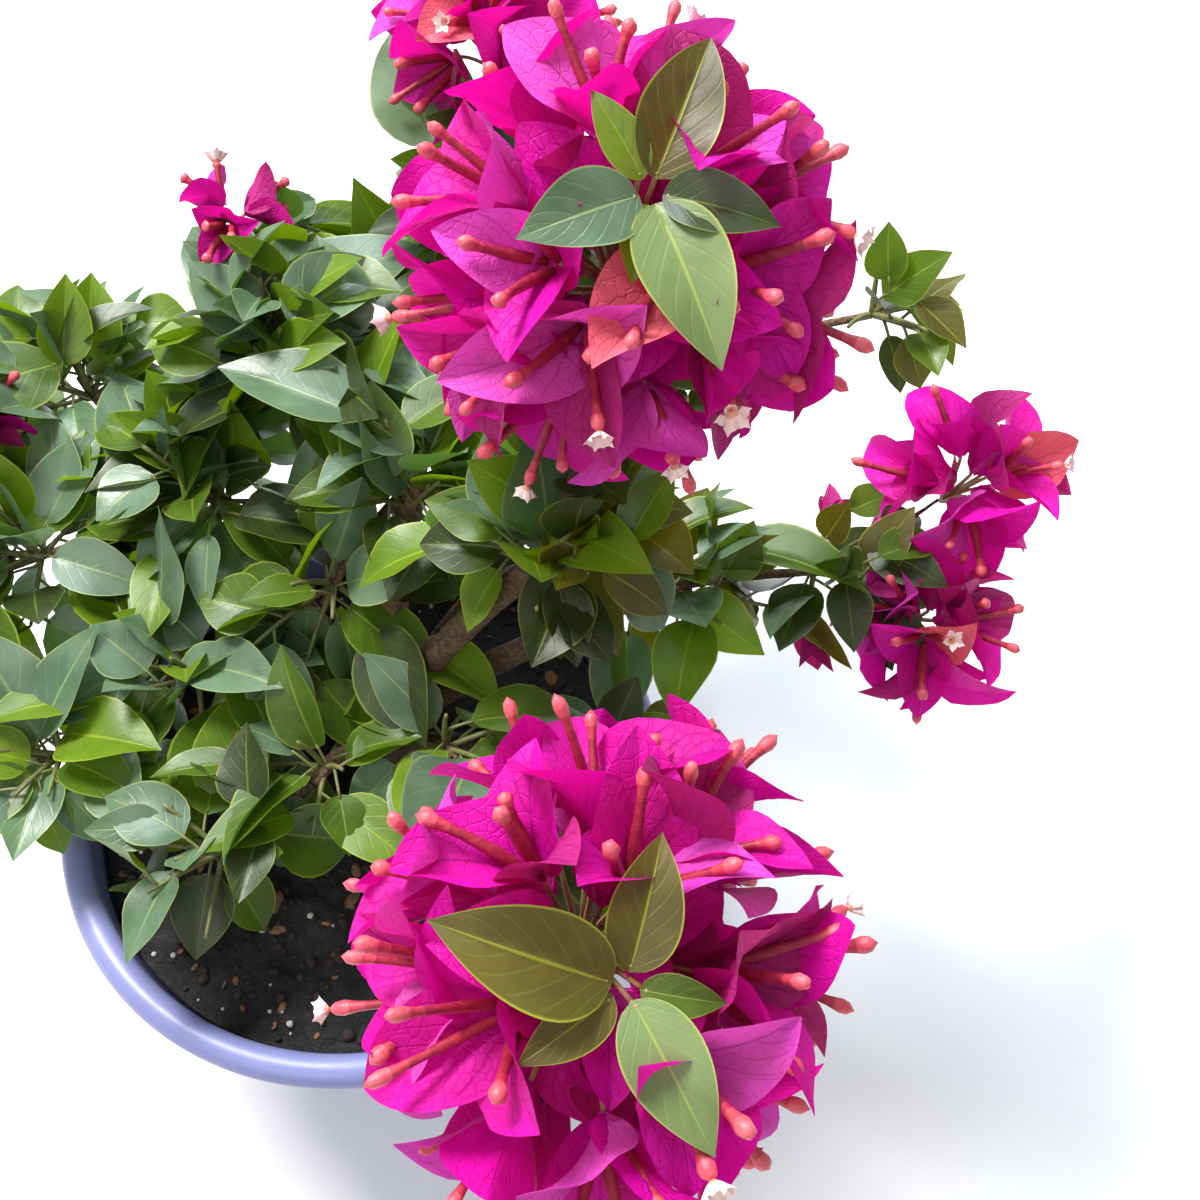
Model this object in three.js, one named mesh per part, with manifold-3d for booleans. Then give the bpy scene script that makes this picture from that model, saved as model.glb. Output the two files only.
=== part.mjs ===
// A bougainvillea bush in a round pot, in millimetres, +Z up.
// The origin is the middle of the pot's flat underside, and -Y is the side the bush is seen from.
//
// The woody trunk stands in the potting mix and forks into tapering boughs. Each bough ends where it
// enters a mass of leaves. Masses of leaves and of coloured bracts are closed, uneven solids that
// share the crown between them: a flat gap parts every two that would otherwise run into each other.
import * as THREE from "three";
import { mergeVertices } from "three/addons/utils/BufferGeometryUtils.js";
import Module from "manifold-3d";

const wasm = await Module();
wasm.setup();

// ---- Driving dimensions -------------------------------------------------------------------------
const GAP = 0.4; // kept between pieces that touch

const POT = {
  height: 165,
  rimRadius: 110,
  baseRadius: 65,
  wall: 3,
  floor: 4,
  rimBand: 20, // height of the thicker band under the lip
  rimWidth: 11, // from the inner wall to the outside of the lip
  lipRadius: 5, // rounding of the lip
  sides: 56,
};
const SOIL = { depthBelowLip: 14, crown: 3, sides: 40 };
const SOIL_TOP = POT.height - SOIL.depthBelowLip + SOIL.crown;

const TRUNK = {
  foot: [14, 2], // where it leaves the potting mix
  fork: [4, 16], // where it forks: it leans back and a little to the left
  height: 40,
  footRadius: 12.5,
  forkRadius: 8.5,
  flare: 0.55, // extra width of the root flare, as a share of footRadius
  flareHeight: 0.3, // share of the height that the flare takes
  sides: 12,
  steps: 7,
};
const BOUGH = { sides: 8, steps: 9, tipShare: 0.62 };

const UNEVEN = 0.16; // how far a mass's surface swells and sinks, as a share of its radius

const COLOUR = {
  pot: 0xa9b1dc,
  soil: 0x1f1a1b,
  bark: 0x6b4f3d,
  leaf: 0x4d6b2c,
  bract: 0xe0148f,
};
const finish = (colour, roughness) =>
  new THREE.MeshStandardMaterial({ color: colour, roughness, metalness: 0 });
const POT_PLASTIC = finish(COLOUR.pot, 0.55);
const POTTING_MIX = finish(COLOUR.soil, 0.95);
const BARK = finish(COLOUR.bark, 0.85);
const LEAVES = finish(COLOUR.leaf, 0.5);
const BRACTS = finish(COLOUR.bract, 0.6);

// Masses: the centre and the half-sizes along X, Y and Z.
const LEAF_MASSES = {
  left_upper: { at: [-22, 116, 264], half: [46, 44, 42] },
  left_mid: { at: [-58, 86, 228], half: [48, 44, 34] },
  left_low: { at: [-64, 20, 203], half: [36, 38, 30] },
  left_outer: { at: [-122, 60, 212], half: [44, 46, 34] },
  left_front: { at: [-104, -8, 196], half: [36, 36, 23] },
  centre: { at: [26, 62, 256], half: [42, 40, 36] },
  centre_low: { at: [40, -16, 212], half: [36, 40, 25] },
  under_upper: { at: [74, 16, 284], half: [36, 34, 40] },
  low_front: { at: [66, -78, 236], half: [36, 34, 30] },
  right_low: { at: [92, -12, 204], half: [32, 32, 28] },
  right_mid: { at: [124, 44, 220], half: [42, 36, 32] },
  right_outer: { at: [168, 52, 216], half: [30, 30, 26] },
  right_top: { at: [182, 110, 292], half: [26, 28, 26] },
  top: { at: [36, 170, 276], half: [40, 36, 36] },
  back: { at: [10, 178, 226], half: [46, 42, 36] },
  back_left: { at: [-114, 134, 224], half: [44, 42, 36] },
  back_right: { at: [104, 132, 240], half: [50, 46, 42] },
  near_mid: { at: [-6, -20, 205], half: [32, 30, 25] },
  near_left: { at: [-44, -46, 197], half: [38, 34, 25] },
  near_bud: { at: [-34, 154, 270], half: [40, 30, 22] },
  middle: { at: [-8, 34, 228], half: [42, 32, 24] },
};
const BRACT_MASSES = {
  upper: { at: [92, 36, 375], half: [58, 56, 54] },
  lower: { at: [84, -108, 309], half: [60, 60, 54] },
  right_high: { at: [216, 82, 229], half: [36, 36, 34] },
  right_low: { at: [198, 36, 208], half: [36, 34, 34] },
  top: { at: [48, 206, 325], half: [44, 40, 38] },
  bud: { at: [-38, 146, 292], half: [18, 18, 17] },
  back: { at: [88, 208, 214], half: [36, 34, 32] },
  left: { at: [-148, 96, 236], half: [32, 34, 30] },
};

// Boughs: the leaf mass each one makes for, how high up the trunk it springs from as a share of the
// trunk's height, its radius there, and how far it arches above a straight line.
const BOUGHS = {
  centre: { to: "centre", from: 0.98, radius: 6, arch: 4 },
  upper: { to: "under_upper", from: 0.9, radius: 6, arch: 6 },
  left: { to: "left_mid", from: 0.86, radius: 5.5, arch: 4 },
  right_back: { to: "back_right", from: 0.82, radius: 5, arch: -2 },
  right: { to: "right_mid", from: 0.76, radius: 5.5, arch: 8 },
  back: { to: "back", from: 0.7, radius: 5, arch: -7 },
  left_low: { to: "left_low", from: 0.64, radius: 4.5, arch: 6 },
  near: { to: "near_mid", from: 0.68, radius: 4, arch: 6 },
  front: { to: "centre_low", from: 0.58, radius: 4.5, arch: 6 },
  right_low: { to: "right_low", from: 0.52, radius: 4, arch: 6 },
};
// Side shoots cross the open gap from one mass to the next.
const SHOOTS = {
  right_top: { from: ["leaf", "back_right"], to: ["leaf", "right_top"], radius: 2.2, arch: -4 },
};

// ---- Solids -------------------------------------------------------------------------------------

// A closed geometry as a solid that can be cut.
function toSolid(geometry) {
  const bare = geometry.index ? geometry.toNonIndexed() : geometry.clone();
  bare.deleteAttribute("normal");
  bare.deleteAttribute("uv");
  const merged = mergeVertices(bare, 1e-3);
  return new wasm.Manifold(
    new wasm.Mesh({
      numProp: 3,
      vertProperties: merged.attributes.position.array,
      triVerts: new Uint32Array(merged.index.array),
    }),
  );
}

// A solid as a geometry.
function toGeometry(solid) {
  const { numProp, numVert, vertProperties, triVerts } = solid.getMesh();
  const position = new Float32Array(numVert * 3);
  for (let i = 0; i < numVert; i++) {
    position.set(vertProperties.subarray(i * numProp, i * numProp + 3), i * 3);
  }
  const geometry = new THREE.BufferGeometry();
  geometry.setAttribute("position", new THREE.BufferAttribute(position, 3));
  geometry.setIndex(new THREE.BufferAttribute(new Uint32Array(triVerts), 1));
  geometry.computeVertexNormals();
  return geometry;
}

// Of the separate bodies that a cut leaves, crumbs left out, the one that comes nearest to a point.
const CRUMB = 0.12; // share of the whole volume under which a body is a crumb
function bodyNearest(solid, point) {
  const nearest = (body) => {
    const { numProp, numVert, vertProperties: v } = body.getMesh();
    let least = Infinity;
    for (let i = 0; i < numVert; i++) {
      const corner = new THREE.Vector3(v[i * numProp], v[i * numProp + 1], v[i * numProp + 2]);
      least = Math.min(least, corner.distanceTo(point));
    }
    return least;
  };
  const bodies = solid.decompose().filter((body) => body.volume() > CRUMB * solid.volume());
  return bodies.sort((a, b) => nearest(a) - nearest(b))[0];
}

// A round limb along a curve: a cylinder whose rings are carried along it. radiusAt(t, angle) is its
// radius at the share t of its length. The foot's ring is turned level where levelFoot is set.
function limb(curve, radiusAt, sides, steps, levelFoot = false) {
  const tube = new THREE.CylinderGeometry(1, 1, 1, sides, steps);
  const frames = curve.computeFrenetFrames(steps);
  if (levelFoot) {
    const side = frames.binormals[0].setZ(0).normalize();
    frames.normals[0].crossVectors(side, new THREE.Vector3(0, 0, 1));
  }
  const spot = tube.attributes.position;
  for (let i = 0; i < spot.count; i++) {
    const t = spot.getY(i) + 0.5;
    const ring = Math.round(t * steps);
    const across = new THREE.Vector2(spot.getX(i), spot.getZ(i));
    const angle = across.angle();
    const reach = across.length() < 0.5 ? 0 : radiusAt(t, angle);
    const place = curve
      .getPointAt(t)
      .addScaledVector(frames.binormals[ring], reach * Math.cos(angle))
      .addScaledVector(frames.normals[ring], reach * Math.sin(angle));
    spot.setXYZ(i, place.x, place.y, place.z);
  }
  return toSolid(tube);
}

// ---- Pot and potting mix ------------------------------------------------------------------------

// The wall's outer radius at a height: the pot is a plain cone under its rim.
const wallRadius = (z) => {
  const under = POT.rimRadius - POT.rimWidth + POT.wall;
  return POT.baseRadius + ((under - POT.baseRadius) * z) / (POT.height - POT.rimBand);
};

// Outline of the pot's wall, from the underside out, over the rounded lip and down inside.
function pot() {
  const bandFoot = POT.height - POT.rimBand;
  const innerTop = POT.rimRadius - POT.rimWidth;
  const outline = [
    [0, 0],
    [POT.baseRadius - 2, 0],
    [POT.baseRadius, 2],
    [wallRadius(bandFoot - 4), bandFoot - 4],
    [POT.rimRadius - 4, bandFoot],
  ];
  const lipTurns = 6;
  const inset = POT.rimWidth - POT.lipRadius * 2;
  for (let i = 0; i <= lipTurns; i++) {
    const turn = (Math.PI * i) / lipTurns;
    const shift = (inset * i) / lipTurns;
    outline.push([
      POT.rimRadius - POT.lipRadius - shift + POT.lipRadius * Math.cos(turn),
      POT.height - POT.lipRadius + POT.lipRadius * Math.sin(turn),
    ]);
  }
  outline.push(
    [innerTop, bandFoot],
    [POT.baseRadius - POT.wall + (wallRadius(POT.floor) - POT.baseRadius), POT.floor],
    [0, POT.floor],
  );
  return latheOf(outline, POT.sides);
}

// The potting mix fills the pot, and its top rises a little towards the trunk.
function pottingMix() {
  const foot = POT.floor + GAP;
  const top = POT.height - SOIL.depthBelowLip;
  const innerFoot = POT.baseRadius - POT.wall + (wallRadius(POT.floor) - POT.baseRadius);
  const innerTop = POT.rimRadius - POT.rimWidth;
  const bandFoot = POT.height - POT.rimBand;
  const outline = [
    [0, foot],
    [innerFoot - 2 * GAP, foot],
    [innerTop - 2 * GAP - 0.6, bandFoot],
    [innerTop - 2 * GAP - 0.6, top],
    [innerTop * 0.72, top + SOIL.crown * 0.6],
    [innerTop * 0.36, top + SOIL.crown],
    [0, top + SOIL.crown],
  ];
  return latheOf(outline, SOIL.sides);
}

// An outline of [radius, height] turned about the Z axis.
function latheOf(outline, sides) {
  const points = outline.map(([radius, height]) => new THREE.Vector2(radius, height));
  return toSolid(new THREE.LatheGeometry(points, sides).rotateX(Math.PI / 2));
}

// ---- Trunk, boughs and shoots -------------------------------------------------------------------

const TRUNK_FOOT = new THREE.Vector3(...TRUNK.foot, SOIL_TOP + GAP);
const TRUNK_FORK = new THREE.Vector3(...TRUNK.fork, SOIL_TOP + TRUNK.height);
const TRUNK_LINE = new THREE.QuadraticBezierCurve3(
  TRUNK_FOOT,
  new THREE.Vector3(TRUNK.foot[0] + 2, TRUNK.foot[1] + 2, SOIL_TOP + TRUNK.height * 0.5),
  TRUNK_FORK,
);

// The trunk tapers upwards, widens into a root flare at its foot, and is slightly fluted.
function trunk(extra = 0) {
  const radiusAt = (t, angle) => {
    const taper = TRUNK.footRadius + (TRUNK.forkRadius - TRUNK.footRadius) * t;
    const flare = TRUNK.flare * TRUNK.footRadius * Math.exp(-t / TRUNK.flareHeight);
    const flutes = 1 + 0.1 * Math.cos(3 * angle + 1) * (1 - t);
    return taper * flutes + flare + extra;
  };
  return limb(TRUNK_LINE, radiusAt, TRUNK.sides, TRUNK.steps, true);
}

// The line of a bough: it arches above the straight line between its two ends.
function archOf(start, end, arch) {
  const middle = start.clone().lerp(end, 0.5);
  middle.z += 2 * arch;
  return new THREE.QuadraticBezierCurve3(start, middle, end);
}

const massCentre = ([kind, name]) =>
  new THREE.Vector3(...(kind === "leaf" ? LEAF_MASSES : BRACT_MASSES)[name].at);

// A bough springs from the trunk's side, on the side that it makes for.
function boughLine({ to, from, radius, arch }) {
  const end = massCentre(["leaf", to]);
  const start = TRUNK_LINE.getPointAt(from);
  const side = end.clone().sub(start).setZ(0).normalize();
  return archOf(start.addScaledVector(side, TRUNK.forkRadius - radius / 2), end, arch);
}

const shootLine = ({ from, to, arch }) => archOf(massCentre(from), massCentre(to), arch);

function taperedLimb(line, radius, extra = 0) {
  const radiusAt = (t) => radius * (1 + (BOUGH.tipShare - 1) * t) + extra;
  return limb(line, radiusAt, BOUGH.sides, BOUGH.steps);
}

// ---- Masses -------------------------------------------------------------------------------------

const ALL_MASSES = [
  ...Object.entries(LEAF_MASSES).map(([name, m]) => ({ ...m, name, kind: "leaf" })),
  ...Object.entries(BRACT_MASSES).map(([name, m]) => ({ ...m, name, kind: "bract" })),
].map((m, i) => ({ ...m, centre: new THREE.Vector3(...m.at), phase: i * 2.4 }));

// How far an ellipsoid with these half-sizes reaches from its centre in one direction.
const reachOf = ([a, b, c], d) => 1 / Math.hypot(d.x / a, d.y / b, d.z / c);

// Lumps that are different on every mass: waves across three slanting directions.
function lump(d, phase) {
  const wave = (x, y, z, turns, shift) => Math.sin(turns * (d.x * x + d.y * y + d.z * z) + shift);
  return (
    0.5 * wave(0.8, 0.5, 0.3, 4.1, phase) +
    0.3 * wave(-0.4, 0.8, 0.5, 6.3, phase * 1.7) +
    0.2 * wave(0.3, -0.6, 0.9, 8.7, phase * 2.3)
  );
}

// The flat faces that part a mass from each neighbour it would run into.
function partingFaces(mass) {
  const faces = [];
  for (const other of ALL_MASSES) {
    if (other === mass) continue;
    const across = other.centre.clone().sub(mass.centre);
    const apart = across.length();
    const normal = across.normalize();
    const mine = reachOf(mass.half, normal) * (1 + UNEVEN);
    const theirs = reachOf(other.half, normal) * (1 + UNEVEN);
    if (mine + theirs <= apart) continue;
    faces.push({ normal, distance: (apart * mine) / (mine + theirs) - GAP });
  }
  return faces;
}

// One mass: a sphere of faces pushed out to the uneven ellipsoid, and no further than its parting faces.
function massSolid(mass, extra = 0) {
  const detail = mass.kind === "bract" && mass.half[0] > 50 ? 3 : 2;
  const ball = new THREE.IcosahedronGeometry(1, detail);
  const faces = partingFaces(mass);
  const spot = ball.attributes.position;
  for (let i = 0; i < spot.count; i++) {
    const d = new THREE.Vector3().fromBufferAttribute(spot, i).normalize();
    let reach = reachOf(mass.half, d) * (1 + UNEVEN * lump(d, mass.phase));
    for (const { normal, distance } of faces) {
      const facing = d.dot(normal);
      if (facing > 0) reach = Math.min(reach, distance / facing);
    }
    const place = d.multiplyScalar(reach + extra).add(mass.centre);
    spot.setXYZ(i, place.x, place.y, place.z);
  }
  return toSolid(ball);
}

// ---- The bush -----------------------------------------------------------------------------------

const bush = new THREE.Group();
function addNode(name, solid, material) {
  const mesh = new THREE.Mesh(toGeometry(solid), material);
  mesh.name = name;
  bush.add(mesh);
}

addNode("pot", pot(), POT_PLASTIC);
addNode("potting_mix", pottingMix(), POTTING_MIX);

const trunkSolid = trunk();
addNode("trunk", trunkSolid, BARK);

// Each bough is cut off where it enters a mass, and clear of the trunk and of the boughs before it.
const grownMasses = ALL_MASSES.map((mass) => massSolid(mass, GAP));
const grownBoughs = [trunk(GAP)];
for (const [name, spec] of Object.entries(BOUGHS)) {
  const line = boughLine(spec);
  let solid = taperedLimb(line, spec.radius);
  for (const blocker of [...grownBoughs, ...grownMasses]) solid = solid.subtract(blocker);
  addNode("bough_" + name, bodyNearest(solid, line.getPointAt(0)), BARK);
  grownBoughs.push(taperedLimb(line, spec.radius, GAP));
}
for (const [name, spec] of Object.entries(SHOOTS)) {
  const line = shootLine(spec);
  let solid = taperedLimb(line, spec.radius);
  for (const blocker of grownMasses) solid = solid.subtract(blocker);
  addNode("shoot_" + name, bodyNearest(solid, line.getPointAt(0.5)), BARK);
}

// The trunk stays whole, so a mass that it runs into is cut round it.
const grownTrunk = trunk(GAP);
for (const mass of ALL_MASSES) {
  const solid = massSolid(mass).subtract(grownTrunk);
  const whole = solid.decompose().sort((a, b) => b.volume() - a.volume())[0];
  addNode(mass.kind + "_mass_" + mass.name, whole, mass.kind === "leaf" ? LEAVES : BRACTS);
}

export default bush;
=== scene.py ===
"""A bougainvillea bush in its round pot: trunk, boughs, leafy shoots and heads of papery bracts.

Everything is in metres with +Z up. Masses of foliage are boxes in the frame; shoots, leaves, bracts and
flower tubes grow inside them by a seeded rule.
"""

import logging
import math
from dataclasses import dataclass, field
from enum import Enum

import bmesh
import bpy
import numpy as np
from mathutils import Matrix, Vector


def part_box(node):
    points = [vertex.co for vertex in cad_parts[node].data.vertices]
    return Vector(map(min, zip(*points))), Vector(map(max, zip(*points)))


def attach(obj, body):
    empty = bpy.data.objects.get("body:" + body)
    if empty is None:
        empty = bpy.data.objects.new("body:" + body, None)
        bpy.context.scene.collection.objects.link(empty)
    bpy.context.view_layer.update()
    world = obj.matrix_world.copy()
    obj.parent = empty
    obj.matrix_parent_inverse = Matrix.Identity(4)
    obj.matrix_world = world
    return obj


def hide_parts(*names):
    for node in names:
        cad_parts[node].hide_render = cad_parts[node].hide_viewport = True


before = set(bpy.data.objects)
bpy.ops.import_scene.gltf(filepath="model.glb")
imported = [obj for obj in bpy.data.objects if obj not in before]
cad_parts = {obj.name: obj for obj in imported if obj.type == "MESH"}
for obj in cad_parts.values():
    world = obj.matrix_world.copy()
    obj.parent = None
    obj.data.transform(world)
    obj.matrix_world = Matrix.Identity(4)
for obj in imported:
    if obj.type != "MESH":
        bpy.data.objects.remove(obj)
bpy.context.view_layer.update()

log = logging.getLogger("bougainvillea")

MM = 0.001
UP = np.array([0.0, 0.0, 1.0])
BODY = "root"
GOLDEN_TURN = math.radians(137.5)
Rng = np.random.Generator


# ---- Vectors ------------------------------------------------------------------------------------


def unit(v: np.ndarray) -> np.ndarray:
    """Vectors made one long.

    Args:
        v: vectors along the last axis.
    Returns:
        The same directions with length one.
    """
    return v / np.maximum(np.linalg.norm(v, axis=-1, keepdims=True), 1e-12)


def square_to(v: np.ndarray, along: np.ndarray) -> np.ndarray:
    """The part of v that is at right angles to along, made one long.

    Args:
        v: vectors.
        along: unit vectors.
    Returns:
        Unit vectors square to along.
    """
    return unit(v - (v * along).sum(-1, keepdims=True) * along)


def turned(v: np.ndarray, about: np.ndarray, angle: np.ndarray) -> np.ndarray:
    """v turned about a unit axis by the right-hand rule (Rodrigues' formula).

    Args:
        v: vectors.
        about: unit axes.
        angle: angles in radians, one for each vector.
    Returns:
        The turned vectors.
    """
    c, s = np.cos(angle)[..., None], np.sin(angle)[..., None]
    return v * c + np.cross(about, v) * s + about * (about * v).sum(-1, keepdims=True) * (1 - c)


def side_of(along: np.ndarray) -> np.ndarray:
    """A level unit vector square to each direction, or the X axis beside an upright one.

    Args:
        along: unit vectors.
    Returns:
        Unit vectors square to along.
    """
    level = np.cross(along, UP)
    upright = np.linalg.norm(level, axis=-1, keepdims=True) < 0.05
    return square_to(np.where(upright, [1.0, 0.0, 0.0], level), along)


def bend(start: np.ndarray, middle: np.ndarray, end: np.ndarray, steps: int) -> np.ndarray:
    """Points on quadratic curves: (1-t)^2 start + 2t(1-t) middle + t^2 end.

    Args:
        start, middle, end: control points, shaped (..., 3).
        steps: how many stretches each curve has.
    Returns:
        Points shaped (..., steps + 1, 3).
    """
    t = np.linspace(0, 1, steps + 1)[:, None]
    a, b, c = (np.asarray(p, float)[..., None, :] for p in (start, middle, end))
    return (1 - t) ** 2 * a + 2 * t * (1 - t) * b + t**2 * c


def lattice_noise(points: np.ndarray, size: float, seed: int) -> np.ndarray:
    """Smooth noise from -1 to 1: random values on a lattice, blended by 3t^2 - 2t^3 between its corners.

    Args:
        points: places, shaped (..., 3).
        size: the lattice's spacing.
        seed: which random lattice.
    Returns:
        One value for each point.
    """
    table = np.random.default_rng(seed).uniform(-1, 1, 4096)
    scaled = points / size
    cell = np.floor(scaled).astype(np.int64)
    t = scaled - cell
    t = t * t * (3 - 2 * t)
    total = np.zeros(points.shape[:-1])
    for corner in np.ndindex(2, 2, 2):
        at = cell + np.array(corner)
        key = (at[..., 0] * 73856093 ^ at[..., 1] * 19349663 ^ at[..., 2] * 83492791) % 4096
        weight = np.prod(np.where(np.array(corner), t, 1 - t), axis=-1)
        total += table[key] * weight
    return total


# ---- Meshes -------------------------------------------------------------------------------------


@dataclass
class Piece:
    """A mesh gathered from batches of grids, then written as one object.

    Attributes:
        name: the object's name.
        points, uvs, tones, quads, slots: what has been gathered so far.
    """

    name: str
    points: list = field(default_factory=list)
    uvs: list = field(default_factory=list)
    tones: list = field(default_factory=list)
    quads: list = field(default_factory=list)
    slots: list = field(default_factory=list)
    count: int = 0

    def add(
        self, grid: np.ndarray, tone: np.ndarray | float = 0.5, row_slots: np.ndarray | None = None
    ) -> None:
        """Adds a batch of surfaces, each a grid of rows and columns that faces rows x columns outwards.

        Args:
            grid: points shaped (batch, rows, columns, 3).
            tone: one shade number for each surface, from 0 to 1.
            row_slots: the material slot of each row of faces, or None for the first slot.
        """
        n, rows, cols, _ = grid.shape
        index = np.arange(rows * cols).reshape(rows, cols)
        quad = np.stack([index[:-1, :-1], index[:-1, 1:], index[1:, 1:], index[1:, :-1]], -1).reshape(-1, 4)
        offset = self.count + np.arange(n)[:, None, None] * rows * cols
        self.quads.append((quad[None] + offset).reshape(-1, 4))
        self.points.append(grid.reshape(-1, 3))
        u, v = np.meshgrid(np.linspace(0, 1, cols), np.linspace(0, 1, rows))
        self.uvs.append(np.tile(np.stack([u, v], -1).reshape(-1, 2), (n, 1)))
        self.tones.append(np.repeat(np.broadcast_to(tone, (n,)), rows * cols))
        by_row = np.zeros(rows - 1, int) if row_slots is None else row_slots
        self.slots.append(np.tile(np.repeat(by_row, cols - 1), n))
        self.count += n * rows * cols

    def build(
        self, materials: list[bpy.types.Material], slot: str, replaces: list[str] | None = None
    ) -> bpy.types.Object:
        """Args:
            materials: the material of each slot.
            slot: the record's material slot; not used.
            replaces: CAD nodes that it stands for.
        Returns:
            The object.
        """
        points = np.concatenate(self.points)
        quads = np.concatenate(self.quads)
        mesh = bpy.data.meshes.new(self.name)
        mesh.from_pydata(points, [], quads)
        layer = mesh.uv_layers.new(name="surface")
        layer.data.foreach_set("uv", np.concatenate(self.uvs)[quads.ravel()].astype(np.float32).ravel())
        tone = mesh.attributes.new("tone", "FLOAT", "POINT")
        tone.data.foreach_set("value", np.concatenate(self.tones).astype(np.float32))
        mesh.polygons.foreach_set("material_index", np.concatenate(self.slots).astype(np.int32))
        work = bmesh.new()
        work.from_mesh(mesh)
        bmesh.ops.remove_doubles(work, verts=work.verts, dist=1e-7)
        work.to_mesh(mesh)
        work.free()
        mesh.polygons.foreach_set("use_smooth", np.ones(len(mesh.polygons), bool))
        for material in materials:
            mesh.materials.append(material)
        mesh.update()
        piece = bpy.data.objects.new(self.name, mesh)
        bpy.context.scene.collection.objects.link(piece)
        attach(piece, BODY)
        if replaces:
            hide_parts(*replaces)
        triangles = sum(len(p.vertices) - 2 for p in mesh.polygons)
        log.info("%s: %d triangles", self.name, triangles)
        return piece


def sweep(paths: np.ndarray, radii: np.ndarray, sides: int) -> np.ndarray:
    """Round sticks along paths, with rings square to the path and turned as little as possible.

    Args:
        paths: points shaped (batch, rows, 3).
        radii: the radius at each point, shaped (batch, rows) or (batch, rows, sides + 1).
        sides: how many sides each stick has.
    Returns:
        Grids shaped (batch, rows, sides + 1, 3) that face outwards.
    """
    along = unit(np.gradient(paths, axis=1))
    side = np.empty_like(along)
    side[:, 0] = side_of(along[:, 0])
    for row in range(1, paths.shape[1]):
        side[:, row] = square_to(side[:, row - 1], along[:, row])
    other = np.cross(along, side)
    angle = np.linspace(0, 2 * np.pi, sides + 1)
    reach = radii[..., None] if radii.ndim == 2 else radii
    ring = np.cos(angle)[:, None] * side[:, :, None] + np.sin(angle)[:, None] * other[:, :, None]
    return paths[:, :, None] + reach[..., None] * ring


def lathe(outline: np.ndarray, sides: int) -> np.ndarray:
    """An outline of (radius, height) turned about the Z axis.

    Args:
        outline: points shaped (rows, 2), going up the outside.
        sides: how many sides.
    Returns:
        One grid shaped (1, rows, sides + 1, 3).
    """
    angle = np.linspace(0, 2 * np.pi, sides + 1)
    radius, height = outline[:, :1], outline[:, 1:]
    return np.stack([radius * np.cos(angle), radius * np.sin(angle), height + 0 * angle], -1)[None]


# ---- Shader maths -------------------------------------------------------------------------------


class Socket:
    """An output of a shader node that grows Math nodes when it is used in an expression."""

    def __init__(self, tree: "ShaderTree", link: bpy.types.NodeSocket) -> None:
        """Wraps a node's output."""
        self.tree, self.link = tree, link

    def _maths(self, operation: str, first: "Socket | float", second: "Socket | float") -> "Socket":
        """One Math node."""
        return self.tree.node("ShaderNodeMath", {"operation": operation}, {0: first, 1: second})

    def __add__(self, other: "Socket | float") -> "Socket":
        """Sum."""
        return self._maths("ADD", self, other)

    __radd__ = __add__

    def __mul__(self, other: "Socket | float") -> "Socket":
        """Product."""
        return self._maths("MULTIPLY", self, other)

    __rmul__ = __mul__

    def __sub__(self, other: "Socket | float") -> "Socket":
        """Difference."""
        return self._maths("SUBTRACT", self, other)

    def __rsub__(self, other: "Socket | float") -> "Socket":
        """Difference, the other way round."""
        return self._maths("SUBTRACT", other, self)

    def __pow__(self, other: "Socket | float") -> "Socket":
        """Power."""
        return self._maths("POWER", self, other)

    def sine(self) -> "Socket":
        """Sine."""
        return self._maths("SINE", self, 0.0)

    def size(self) -> "Socket":
        """Absolute value."""
        return self._maths("ABSOLUTE", self, 0.0)

    def over(self, low: float, high: float) -> "Socket":
        """Smooth step from 0 at low to 1 at high."""
        settings = {"interpolation_type": "SMOOTHSTEP"}
        return self.tree.node("ShaderNodeMapRange", settings, {0: self, 1: low, 2: high, 3: 0.0, 4: 1.0})


Colour = tuple[float, float, float, float]


def screen(red: int, green: int, blue: int) -> Colour:
    """A screen colour of 0 to 255 as the linear colour that shaders use.

    Args:
        red, green, blue: the screen colour.
    Returns:
        Linear red, green, blue and an alpha of 1.
    """
    linear = [c / 3294.6 if c <= 10 else ((c / 255 + 0.055) / 1.055) ** 2.4 for c in (red, green, blue)]
    return (*linear, 1.0)


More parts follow.
